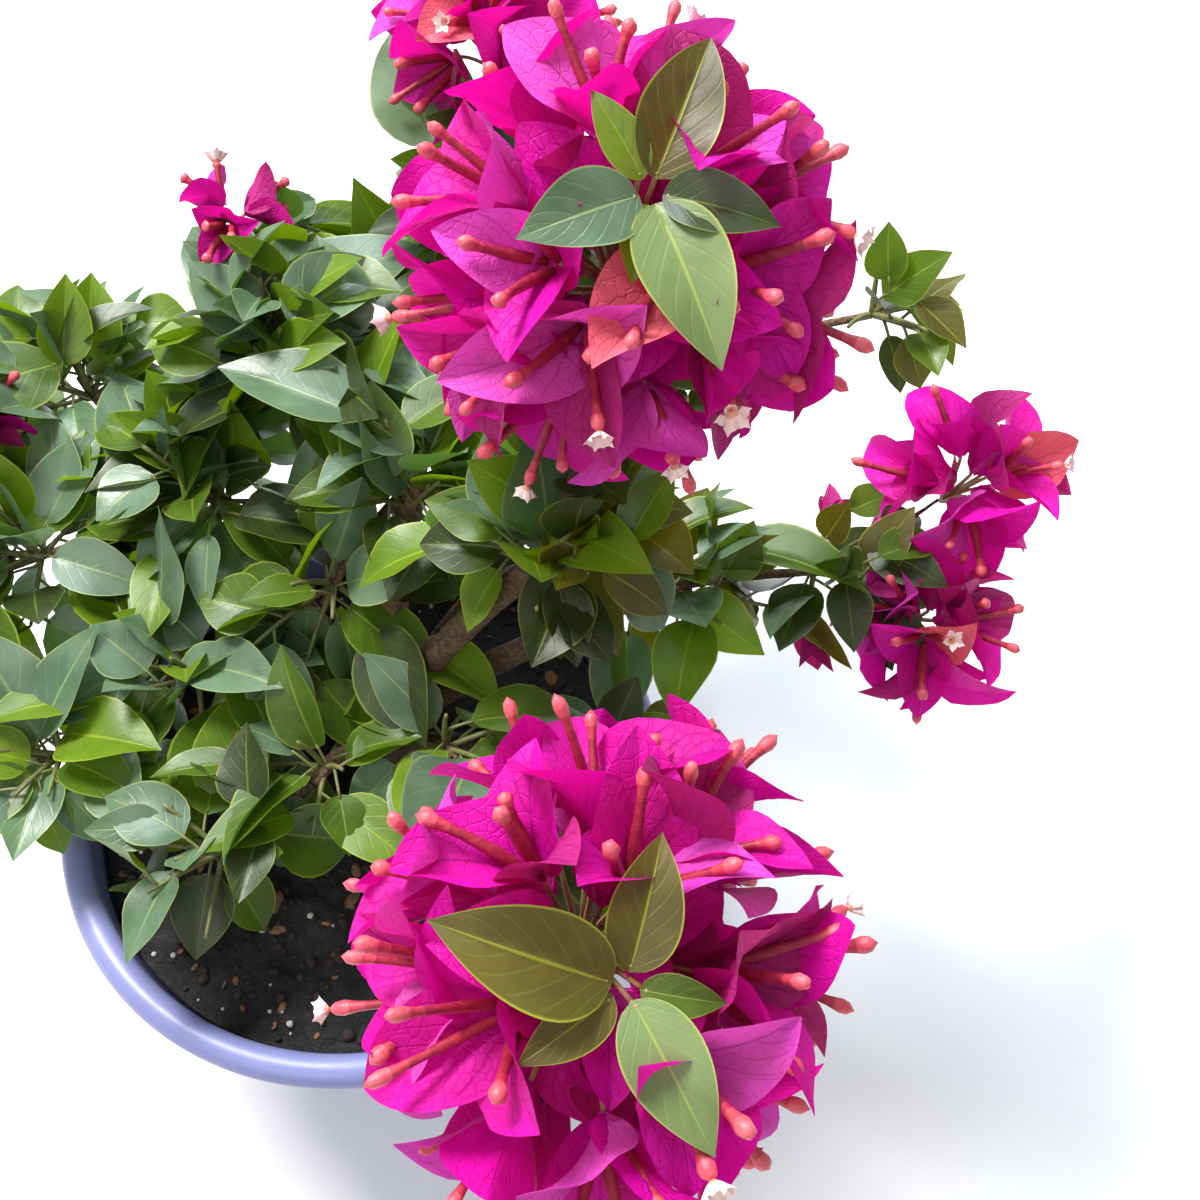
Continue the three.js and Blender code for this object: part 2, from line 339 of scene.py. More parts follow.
class ShaderTree:
    """A material under construction."""

    def __init__(self, name: str) -> None:
        """Starts an empty material."""
        self.material = bpy.data.materials.new(name)
        self.material.use_nodes = True
        self.nodes = self.material.node_tree.nodes
        self.nodes.clear()

    def node(
        self, kind: str, settings: dict | None = None, inputs: dict | None = None, output: int | str = 0
    ) -> Socket:
        """Adds one node.

        Args:
            kind: the node's type.
            settings: properties, set first; "stops" are a ramp's (position, colour) pairs.
            inputs: values or sockets by input name or number.
            output: which output to give back.
        Returns:
            The chosen output.
        """
        made = self.nodes.new(kind)
        for key, value in (settings or {}).items():
            if key == "stops":
                elements = made.color_ramp.elements
                while len(elements) < len(value):
                    elements.new(0.5)
                for element, (position, colour) in zip(elements, value):
                    element.position, element.color = position, colour
            else:
                setattr(made, key, value)
        for key, value in (inputs or {}).items():
            if isinstance(value, Socket):
                self.material.node_tree.links.new(value.link, made.inputs[key])
            else:
                made.inputs[key].default_value = value
        return Socket(self, made.outputs[output])

    def place(self) -> Socket:
        """The place on the object, in metres."""
        return self.node("ShaderNodeTexCoord", output="Object")

    def surface(self) -> tuple[Socket, Socket]:
        """How far across and along its blade or stick a point lies, each from 0 to 1."""
        coords = self.node("ShaderNodeUVMap", {"uv_map": "surface"})
        split = self.node("ShaderNodeSeparateXYZ", inputs={0: coords})
        return split, Socket(self, split.link.node.outputs[1])

    def tone(self) -> Socket:
        """The shade number that each surface was given."""
        return self.node("ShaderNodeAttribute", {"attribute_name": "tone"}, output="Fac")

    def noise(self, size: float, detail: float = 2.0, at: Socket | None = None) -> Socket:
        """Noise from 0 to 1 with lumps of about the given size in metres."""
        return self.node(
            "ShaderNodeTexNoise", inputs={"Vector": at or self.place(), "Scale": 1 / size, "Detail": detail}
        )

    def mix(
        self, share: Socket | float, first: Socket | Colour, second: Socket | Colour, blend: str = "MIX"
    ) -> Socket:
        """Two colours mixed."""
        settings = {"data_type": "RGBA", "blend_type": blend}
        return self.node("ShaderNodeMix", settings, {0: share, 6: first, 7: second}, 2)

    def bump(self, height: Socket, distance: float, strength: float = 1.0) -> Socket:
        """A normal bumped by a height from 0 to 1 that stands for distance metres."""
        return self.node(
            "ShaderNodeBump",
            inputs={"Height": height, "Distance": distance, "Strength": strength},
            output="Normal",
        )

    def skin(self, **values: "Socket | float | Colour") -> Socket:
        """A Principled shader; an underscore in a name stands for a space."""
        inputs = {key.replace("_", " "): value for key, value in values.items()}
        return self.node("ShaderNodeBsdfPrincipled", inputs=inputs)

    def finish(self, shader: Socket) -> bpy.types.Material:
        """Joins the shader to the output and gives the material back."""
        self.node_output = self.nodes.new("ShaderNodeOutputMaterial")
        self.material.node_tree.links.new(shader.link, self.node_output.inputs["Surface"])
        return self.material


# ---- Finishes -----------------------------------------------------------------------------------


@dataclass(frozen=True)
class LeafFinish:
    """A smooth leaf with a pale midrib, side veins and a thin yellow-green margin.

    Attributes:
        name: the material's name.
        blade, shade: the blade's two tones.
        edge: the colour of margin and midrib.
        glow: the light that comes through.
        roughness: how matt the wax is.
        through: the share of light that comes through.
    """

    name: str
    blade: Colour
    shade: Colour
    edge: Colour
    glow: Colour
    roughness: float = 0.36
    through: float = 0.22

    def material(self) -> bpy.types.Material:
        """Builds the material."""
        t = ShaderTree(self.name)
        across, along = t.surface()
        from_rib = (across - 0.5).size() * 2.0
        rib = 1 - from_rib.over(0.015, 0.06)
        edge = from_rib.over(0.93, 0.985)
        veins = 1 - ((along * 7.0 - from_rib * 2.2) * (2 * math.pi)).sine().over(-0.98, -0.8)
        veins = veins * (1 - from_rib.over(0.8, 0.95)) * from_rib.over(0.03, 0.1)
        cloud = t.noise(14 * MM, 3.0)
        colour = t.mix(cloud.over(0.35, 0.65) * 0.6 + t.tone() * 0.4, self.blade, self.shade)
        colour = t.mix(veins * 0.07, colour, self.edge)
        colour = t.mix(rib * 0.55, colour, self.edge)
        colour = t.mix(edge * 0.75, colour, self.edge)
        relief = t.noise(1.2 * MM, 2.0) * 0.3 + (1 - veins) * 0.22 + (1 - rib) * 0.6
        normal = t.bump(relief, 0.3 * MM, 0.6)
        body = t.skin(
            Base_Color=colour,
            Roughness=cloud * 0.12 + (self.roughness - 0.06),
            Normal=normal,
            Specular_IOR_Level=0.45,
            Coat_Weight=0.12,
            Coat_Roughness=0.3,
        )
        light = t.node("ShaderNodeBsdfTranslucent", inputs={"Color": self.glow})
        return t.finish(t.node("ShaderNodeMixShader", inputs={0: self.through, 1: body, 2: light}))


@dataclass(frozen=True)
class BractFinish:
    """A papery bract with fine dark veins, lit through from behind.

    Attributes:
        name: the material's name.
        face, blush: the two tones that mottle it.
        vein: the colour of the veins.
        glow: the light that comes through.
        through: the share of light that comes through.
    """

    name: str
    face: Colour
    blush: Colour
    vein: Colour
    glow: Colour
    through: float = 0.35

    def material(self) -> bpy.types.Material:
        """Builds the material."""
        t = ShaderTree(self.name)
        across, along = t.surface()
        from_rib = (across - 0.5).size() * 2.0
        wander = (t.noise(5 * MM, 2.0) - 0.5) * 0.5
        veins = 1 - ((along * 6.0 - from_rib * 2.6 + wander) * (2 * math.pi)).sine().over(-0.995, -0.9)
        veins = veins * from_rib.over(0.02, 0.08) * (1 - from_rib.over(0.75, 0.98))
        rib = 1 - from_rib.over(0.008, 0.035)
        net = 1 - t.node(
            "ShaderNodeTexVoronoi",
            {"feature": "DISTANCE_TO_EDGE"},
            {"Vector": t.place(), "Scale": 1 / (3.2 * MM)},
            "Distance",
        ).over(0.0, 0.09)
        cloud = t.noise(11 * MM, 3.0)
        colour = t.mix(cloud.over(0.35, 0.7) * 0.5 + t.tone() * 0.5, self.face, self.blush)
        colour = t.mix(veins * 0.22 + net * 0.05, colour, self.vein)
        colour = t.mix(rib * 0.55, colour, self.vein)
        relief = t.noise(0.9 * MM, 3.0) * 0.4 + (1 - veins) * 0.5 + (1 - net) * 0.35 + (1 - rib) * 0.5
        normal = t.bump(relief, 0.4 * MM, 0.8)
        body = t.skin(
            Base_Color=colour, Roughness=cloud * 0.15 + 0.5, Normal=normal, Specular_IOR_Level=0.25
        )
        light = t.node("ShaderNodeBsdfTranslucent", inputs={"Color": self.glow})
        return t.finish(t.node("ShaderNodeMixShader", inputs={0: self.through, 1: body, 2: light}))


@dataclass(frozen=True)
class SoftFinish:
    """A plain, slightly mottled surface, such as a flower tube, a petal or a crumb of soil.

    Attributes:
        name: the material's name.
        face, blush: the two tones that mottle it.
        roughness: how matt it is.
        grain: the size of the mottling.
        relief: how deep the bump is.
    """

    name: str
    face: Colour
    blush: Colour
    roughness: float = 0.5
    grain: float = 2 * MM
    relief: float = 0.15 * MM

    def material(self) -> bpy.types.Material:
        """Builds the material."""
        t = ShaderTree(self.name)
        cloud = t.noise(self.grain, 3.0)
        colour = t.mix(cloud.over(0.3, 0.7) * 0.6 + t.tone() * 0.4, self.face, self.blush)
        fine = t.noise(self.grain * 0.35, 4.0)
        body = t.skin(
            Base_Color=colour,
            Roughness=cloud * 0.15 + (self.roughness - 0.07),
            Normal=t.bump(fine, self.relief),
        )
        return t.finish(body)


@dataclass(frozen=True)
class BarkFinish:
    """Furrowed bark: grooves of noise, darker in their bottoms, with pale flecks.

    Attributes:
        name: the material's name.
        ridge, groove, fleck: the colours of ridges, grooves and flecks.
        turns: how many grooves run round the limb; not used.
    """

    name: str
    ridge: Colour
    groove: Colour
    fleck: Colour
    turns: float = 9.0

    def material(self) -> bpy.types.Material:
        """Builds the material."""
        t = ShaderTree(self.name)
        coarse = t.noise(1.8 * MM, 5.0)
        fine = t.noise(0.5 * MM, 4.0)
        grooves = coarse.over(0.36, 0.58)
        colour = t.mix(grooves, self.groove, self.ridge)
        colour = t.mix(fine.over(0.6, 0.72) * 0.5, colour, self.fleck)
        relief = grooves * 0.6 + fine * 0.4
        body = t.skin(Base_Color=colour, Roughness=0.92 - grooves * 0.15, Normal=t.bump(relief, 0.5 * MM))
        return t.finish(body)


@dataclass(frozen=True)
class PotFinish:
    """Moulded plastic: an even colour with faint clouds, fine grain, rubbed spots and a little dust.

    Attributes:
        name: the material's name.
        body, faded: its colour, and where the sun has faded it.
        dust: dried splashes of mix.
    """

    name: str
    body: Colour
    faded: Colour
    dust: Colour

    def material(self) -> bpy.types.Material:
        """Builds the material."""
        t = ShaderTree(self.name)
        cloud = t.noise(60 * MM, 3.0)
        specks = t.noise(1.1 * MM, 2.0)
        splash = t.noise(7 * MM, 5.0).over(0.66, 0.76)
        colour = t.mix(cloud.over(0.3, 0.7), self.body, self.faded)
        colour = t.mix(specks.over(0.68, 0.78) * 0.18, colour, self.dust)
        colour = t.mix(splash * 0.16, colour, self.dust)
        rubbed = t.noise(18 * MM, 4.0).over(0.4, 0.65)
        body = t.skin(
            Base_Color=colour,
            Roughness=0.5 - rubbed * 0.12 + splash * 0.15,
            Normal=t.bump(t.noise(0.6 * MM, 2.0), 0.06 * MM),
            Coat_Weight=0.12,
            Coat_Roughness=0.25,
        )
        return t.finish(body)


@dataclass(frozen=True)
class MixFinish:
    """Moist potting mix: nearly black peat with brown fibres and pale grit.

    Attributes:
        name: the material's name.
        peat, fibre, grit: its three colours.
    """

    name: str
    peat: Colour
    fibre: Colour
    grit: Colour

    def material(self) -> bpy.types.Material:
        """Builds the material."""
        t = ShaderTree(self.name)
        lumps = t.noise(4 * MM, 5.0)
        fine = t.noise(1.0 * MM, 5.0)
        colour = t.mix(lumps.over(0.45, 0.75) * 0.7, self.peat, self.fibre)
        colour = t.mix(fine.over(0.66, 0.74) * 0.6, colour, self.grit)
        body = t.skin(
            Base_Color=colour, Roughness=0.85 - lumps * 0.3, Normal=t.bump(lumps * 0.5 + fine * 0.5, 1.4 * MM)
        )
        return t.finish(body)


# ---- Leaves and bracts --------------------------------------------------------------------------


@dataclass(frozen=True)
class BladeOutline:
    """Outline and grid of a leaf or bract.

    Half its width at the share t of its length is t^base (1 - t)^tip, scaled to 1 at its widest.

    Attributes:
        base, tip: powers; a small base is rounder, a large tip more drawn out.
        across, along: strips of the grid; across is even, so that the midrib is an edge.
        puckers: side veins that the blade bulges between.
    """

    base: float
    tip: float
    across: int
    along: int
    puckers: float = 5.0


@dataclass
class Blades:
    """Where a batch of blades sits and how each is shaped. All angles are in radians.

    Attributes:
        root: where each starts.
        heading: unit vectors from root towards the tip.
        face: unit vectors that its upper side faces, square to heading.
        length, width: its size in metres.
        droop: how far it bends away from its face along its length.
        fold: how steeply its halves rise from the midrib.
        cup: how far its edges curl up, as a share of half its width.
        wave: how far its edges undulate, as a share of half its width.
        pucker: how far it bulges between side veins, in metres.
        twist: how far it turns about its midrib from root to tip.
        tone: its shade number.
    """

    root: np.ndarray
    heading: np.ndarray
    face: np.ndarray
    length: np.ndarray
    width: np.ndarray
    droop: np.ndarray
    fold: np.ndarray
    cup: np.ndarray
    wave: np.ndarray
    pucker: np.ndarray
    twist: np.ndarray
    tone: np.ndarray

    def grid(self, outline: BladeOutline, rng: Rng) -> np.ndarray:
        """Works the blades out as surfaces.

        The midrib runs forward by the integral of cos(droop t) and sinks by that of sin(droop t). A
        point at the share s of half the width rises by |s| sin(fold) + cup s^2 + a travelling wave,
        and by a bulge between side veins.

        Args:
            outline: outline and grid.
            rng: draws where each blade's waves start.
        Returns:
            Grids shaped (batch, along + 1, across + 1, 3) that face the upper side.
        """
        n = len(self.length)
        even = np.linspace(0, 1, outline.along + 1)
        t = 0.6 * even + 0.4 * (1 - np.cos(np.pi * even)) / 2
        s = np.linspace(-1, 1, outline.across + 1)
        peak = outline.base / (outline.base + outline.tip)
        shape = t**outline.base * (1 - t) ** outline.tip
        half = np.maximum(shape / (peak**outline.base * (1 - peak) ** outline.tip), 0.02)
        middle = (t[1:] + t[:-1]) / 2
        angle = self.droop[:, None] * middle
        step = np.diff(t)
        pad = ((0, 0), (1, 0))
        forward = np.pad(np.cumsum(np.cos(angle) * step, 1), pad)
        sink = np.pad(np.cumsum(np.sin(angle) * step, 1), pad)
        lean = self.droop[:, None] * t
        heading, face = self.heading[:, None], self.face[:, None]
        curve = forward[..., None] * heading - sink[..., None] * face
        rib = self.root[:, None] + self.length[:, None, None] * curve
        along = heading * np.cos(lean)[..., None] - face * np.sin(lean)[..., None]
        out = face * np.cos(lean)[..., None] + heading * np.sin(lean)[..., None]
        out = turned(out, along, self.twist[:, None] * t)
        side = np.cross(along, out)
        reach = half * self.width[:, None] / 2
        phase = rng.uniform(0, 2 * np.pi, (n, 2))
        ss, tt = s[None, None, :], t[None, :, None]
        edge_phase = np.where(ss < 0, phase[:, :1, None], phase[:, 1:, None])
        wave = np.sin(2 * np.pi * 1.6 * tt + edge_phase) * np.abs(ss) ** 2
        fold, cup, waving = (x[:, None, None] for x in (self.fold, self.cup, self.wave))
        rise = np.sin(fold) * np.abs(ss) + cup * ss**2 * (1 - 0.6 * tt) + waving * wave
        from_rib = np.abs(ss)
        bulge = np.sin(2 * np.pi * outline.puckers * (tt - 0.32 * from_rib)) * 4 * from_rib * (1 - from_rib)
        height = reach[:, :, None] * rise + self.pucker[:, None, None] * bulge * half[None, :, None]
        offset = reach[:, :, None] * ss * np.cos(fold)
        return rib[:, :, None] + offset[..., None] * side[:, :, None] + height[..., None] * out[:, :, None]

    def chosen(self, which: np.ndarray) -> "Blades":
        """The blades that a mask or index picks out."""
        return Blades(**{key: value[which] for key, value in vars(self).items()})

    @staticmethod
    def joined(batches: list["Blades"]) -> "Blades":
        """Several batches as one."""
        return Blades(**{key: np.concatenate([getattr(b, key) for b in batches]) for key in vars(batches[0])})


LEAF_OUTLINE = BladeOutline(base=0.62, tip=1.05, across=8, along=11, puckers=4.0)
FINE_LEAF_OUTLINE = BladeOutline(base=0.62, tip=1.05, across=12, along=20, puckers=5.0)
BRACT_OUTLINE = BladeOutline(base=0.56, tip=0.92, across=12, along=16, puckers=4.5)
SMALL_BRACT_OUTLINE = BladeOutline(base=0.56, tip=0.92, across=8, along=10, puckers=3.0)


# ---- The frame's masses -------------------------------------------------------------------------


@dataclass(frozen=True)
class Mass:
    """One mass of leaves or bracts, read from the frame.

    Attributes:
        name: its CAD node.
        centre: the middle of its box.
        half: half its box's sides.
    """

    name: str
    centre: np.ndarray
    half: np.ndarray

    @staticmethod
    def read(name: str) -> "Mass":
        """Reads one mass from the frame."""
        low, high = (np.array(corner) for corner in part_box(name))
        return Mass(name, (low + high) / 2, (high - low) / 2)


MASSES = {name: Mass.read(name) for name in sorted(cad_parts) if "_mass_" in name}
LEAF_MASSES = [mass for name, mass in MASSES.items() if name.startswith("leaf_")]
BRACT_MASSES = [mass for name, mass in MASSES.items() if name.startswith("bract_")]


def depth_in_crown(points: np.ndarray) -> np.ndarray:
    """How far out of the masses a point lies: 0 at a mass's middle, 1 on its surface, more outside.

    Args:
        points: places, shaped (..., 3).
    Returns:
        The least value over all masses.
    """
    values = [np.linalg.norm((points - m.centre) / m.half, axis=-1) for m in MASSES.values()]
    return np.min(values, axis=0)


# ---- Wood ---------------------------------------------------------------------------------------


@dataclass(frozen=True)
class Bough:
    """A bough that springs from the trunk.

    Attributes:
        to: the mass that it makes for.
        start: how high up the trunk it springs, as a share of the trunk's length.
        radius: its radius there.
        arch: how far it arches above a straight line.
    """

    to: str
    start: float
    radius: float
    arch: float


@dataclass
class Wood:
    """Trunk, boughs and the branches that go on from them to every mass.

    Attributes:
        fork_radius, foot_radius: the trunk's radius at its top and above its flare.
        flare: extra width of the root flare, as a share of foot_radius.
        flare_height: share of the height that the flare takes.
        boughs: the boughs that spring from the trunk.
        branch_radius: radius of the branches from mass to mass.
        tip_share: the radius that is left at a limb's end.
        sources: masses whose branch comes from a given mass and not from the nearest.
    """

    fork_radius: float = 8.5 * MM
    foot_radius: float = 12.5 * MM
    flare: float = 0.55
    flare_height: float = 0.3
    branch_radius: float = 2.3 * MM
    tip_share: float = 0.62
    sources: tuple[tuple[str, str], ...] = (("leaf_mass_right_top", "leaf_mass_back_right"),)
    boughs: tuple[Bough, ...] = (
        Bough("leaf_mass_centre", 0.98, 6 * MM, 4 * MM),
        Bough("leaf_mass_under_upper", 0.9, 6 * MM, 6 * MM),
        Bough("leaf_mass_left_mid", 0.86, 5.5 * MM, 4 * MM),
        Bough("leaf_mass_back_right", 0.82, 5 * MM, -2 * MM),
        Bough("leaf_mass_right_mid", 0.76, 5.5 * MM, 8 * MM),
        Bough("leaf_mass_back", 0.7, 5 * MM, -7 * MM),
        Bough("leaf_mass_near_mid", 0.68, 4 * MM, 6 * MM),
        Bough("leaf_mass_left_low", 0.64, 4.5 * MM, 6 * MM),
        Bough("leaf_mass_centre_low", 0.58, 4.5 * MM, 6 * MM),
        Bough("leaf_mass_right_low", 0.52, 4 * MM, 6 * MM),
    )

    def trunk_line(self, steps: int) -> np.ndarray:
        """The trunk's middle line, from the middle of its lowest ring to that of its highest.

        Args:
            steps: how many stretches.
        Returns:
            Points shaped (steps + 1, 3).
        """
        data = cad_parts["trunk"].data
        spots = np.empty(len(data.vertices) * 3)
        data.vertices.foreach_get("co", spots)
        spots = spots.reshape(-1, 3)
        low, high = spots[:, 2].min(), spots[:, 2].max()
        foot = (spots[spots[:, 2] < low + 0.5 * MM].min(0) + spots[spots[:, 2] < low + 0.5 * MM].max(0)) / 2
        top = spots[spots[:, 2] > high - 3 * MM].mean(0)
        middle = (foot + top) / 2 + [4 * MM, -2 * MM, 0]
        return bend(foot, middle, top, steps)

    @staticmethod
    def furrowed(paths: np.ndarray, radii: np.ndarray, sides: int, depth: float, seed: int) -> np.ndarray:
        """Sticks whose surface has furrows drawn out along the limb.

        The radius is lowered where noise that is stretched eight times along the limb crosses zero.

        Args:
            paths: points shaped (batch, rows, 3).
            radii: radii shaped (batch, rows).
            sides: how many sides.
            depth: the furrows' depth.
            seed: which noise.
        Returns:
            Grids shaped (batch, rows, sides + 1, 3).
        """
        angle = np.linspace(0, 2 * np.pi, sides + 1)
        legs = np.linalg.norm(np.diff(paths, axis=1), axis=-1)
        run = np.concatenate([np.zeros((len(paths), 1)), legs.cumsum(1)], 1)
        around = np.stack([np.cos(angle), np.sin(angle)], -1)[None, None] * radii[..., None, None]
        along = np.broadcast_to(run[..., None, None] / 8, around.shape[:-1] + (1,))
        shift = np.arange(len(paths))[:, None, None, None] * 0.37
        field_at = np.concatenate([around, along], -1) + shift
        furrow = 1 - np.abs(lattice_noise(field_at, 2.2 * MM, seed))
        lump = lattice_noise(field_at, 7 * MM, seed + 1)
        return sweep(paths, radii[..., None] + depth * (0.5 * lump - furrow**4), sides)

    def build(self) -> dict[str, np.ndarray]:
        """Makes trunk, boughs and branches as one piece.

        Returns:
            For each mass, the direction in which its branch arrives.
        """
        piece = Piece("trunk_and_boughs")
        line = self.trunk_line(44)
        t = np.linspace(0, 1, 45)
        angle = np.linspace(0, 2 * np.pi, 37)
        taper = self.foot_radius + (self.fork_radius - self.foot_radius) * t
        flare = self.flare * self.foot_radius * np.exp(-t / self.flare_height)
        flutes = 0.1 * np.cos(3 * angle + 1)[None] * (1 - t)[:, None]
        radius = taper[:, None] * (1 + flutes) + flare[:, None]
        grid = self.furrowed(line[None], (taper + flare)[None], 36, 1.4 * MM, 11)
        grid += (grid - line[None, :, None]) * (radius / (taper + flare)[:, None] - 1)[None, :, :, None]
        grid[0, 0, :, 2] = line[0, 2]
        base = np.broadcast_to(line[0], grid[:, :1].shape)
        crown = np.broadcast_to(line[-1] + UP * 2.5 * MM, grid[:, :1].shape)
        piece.add(np.concatenate([base, grid, crown], 1))
        arrivals: dict[str, np.ndarray] = {}
        reached: dict[str, float] = {}
        for number, bough in enumerate(self.boughs):
            start = line[round(bough.start * 44)]
            end = MASSES[bough.to].centre
            side = unit((end - start) * [1, 1, 0])
            start = start + side * (self.fork_radius - bough.radius * 0.9)
            middle = (start + end) / 2 + UP * 2 * bough.arch
            path = bend(start, middle, end, 40)
            steps = np.linspace(0, 1, 41)
            collar = 1 + 0.35 * np.exp(-steps / 0.06)
            radii = bough.radius * (1 + (self.tip_share - 1) * steps) * collar
            grid = self.furrowed(path[None], radii[None], 22, 0.8 * MM, 31 + number)
            piece.add(closed(grid, path[None]))
            arrivals[bough.to] = unit(end - path[-8])
            reached[bough.to] = bough.radius * self.tip_share
        self._branch_out(piece, arrivals, reached)
        nodes = [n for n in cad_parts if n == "trunk" or n.startswith(("bough_", "shoot_"))]
        bark = BarkFinish("bark", screen(108, 84, 62), screen(82, 62, 46), screen(134, 114, 92))
        piece.build([bark.material()], "bark", nodes)
        return arrivals

    def _branch_out(self, piece: Piece, arrivals: dict[str, np.ndarray], reached: dict[str, float]) -> None:
        """Grows a branch to each mass that no bough makes for, always from the nearest mass reached.

        Args:
            piece: the mesh to add to.
            arrivals: directions in which branches arrive, filled in here.
            reached: radius with which each mass is reached, filled in here.
        """
        waiting = [m for m in MASSES.values() if m.name not in reached]
        rng = np.random.default_rng(5)
        while waiting:
            pairs = [
                (np.linalg.norm(m.centre - MASSES[r].centre), m, r)
                for m in waiting
                for r in reached
                if not r.startswith("bract") and dict(self.sources).get(m.name, r) == r
            ]
            _, mass, source = min(pairs, key=lambda pair: pair[0])
            waiting.remove(mass)
            start, end = MASSES[source].centre, mass.centre
            if mass.name.startswith("bract"):
                end = end - unit(end - start) * mass.half.mean() * 0.3
            radius = min(self.branch_radius, reached[source])
            sway = rng.normal(0, 5 * MM, 3) - UP * 5 * MM
            middle = (start + end) / 2 + sway
            path = bend(start, middle, end, 24)
            radii = radius * (1 + (self.tip_share - 1) * np.linspace(0, 1, 25))
            piece.add(closed(self.furrowed(path[None], radii[None], 12, 0.35 * MM, len(waiting)), path[None]))
            arrivals[mass.name] = unit(end - middle)
            reached[mass.name] = max(radius * self.tip_share, 1.3 * MM)


def closed(grid: np.ndarray, paths: np.ndarray) -> np.ndarray:
    """Sticks with both ends closed by a shallow point.

    Args:
        grid: sticks shaped (batch, rows, columns, 3).
        paths: their middle lines, shaped (batch, rows, 3).
    Returns:
        The grids with one more row at each end.
    """
    first = np.broadcast_to(paths[:, :1, None], grid[:, :1].shape)
    last = np.broadcast_to(paths[:, -1:, None], grid[:, :1].shape)
    return np.concatenate([first, grid, last], 1)


# ---- Foliage ------------------------------------------------------------------------------------


class Hue(Enum):
    """The kinds of leaf: mid ones with a painted-sheen, a painted-shade and a painted-light copy dealt by
    place, and sage and olive ones in the heads.
    """

    # Leaves whose bluish-grey colour is a painted sheen of the sky.
    COOL = "cool"
    MID = "mid"
    # Leaves darkened as painted shade.
    DARK = "dark"
    # Leaves lightened as painted light.
    BRIGHT = "bright"
    SAGE = "sage"
    OLIVE = "olive"


LEAF_FINISHES = {
    # Painted sheen: a bluish-grey copy of the leaf colour that stands in for the sky's reflection on the leaf
    # tops.
    Hue.COOL: LeafFinish(
        "leaf_cool",
        screen(106, 130, 104),
        screen(76, 102, 76),
        screen(156, 170, 104),
        screen(96, 144, 26),
        0.32,
    ),
    Hue.MID: LeafFinish(
        "leaf_mid",
        screen(86, 112, 30),
        screen(60, 86, 20),
        screen(150, 166, 56),
        screen(124, 160, 4),
        0.38,
        0.3,
    ),
    # Painted shade: a darker copy of the mid leaf, for leaves that lie in shade.
    Hue.DARK: LeafFinish(
        "leaf_dark",
        screen(50, 64, 22),
        screen(36, 46, 16),
        screen(112, 126, 36),
        screen(84, 104, 4),
        0.42,
        0.14,
    ),
    # Painted light: a lighter copy of the mid leaf, for leaves that the sun shines through.
    Hue.BRIGHT: LeafFinish(
        "leaf_bright",
        screen(112, 138, 34),
        screen(84, 118, 20),
        screen(168, 180, 50),
        screen(140, 176, 6),
        0.38,
        0.34,
    ),
    Hue.SAGE: LeafFinish(
        "leaf_sage",
        screen(118, 138, 84),
        screen(98, 120, 68),
        screen(172, 180, 84),
        screen(120, 150, 30),
        0.42,
        0.15,
    ),
    Hue.OLIVE: LeafFinish(
        "leaf_olive",
        screen(88, 84, 22),
        screen(60, 56, 14),
        screen(160, 168, 40),
        screen(150, 148, 6),
        0.44,
        0.24,
    ),
}


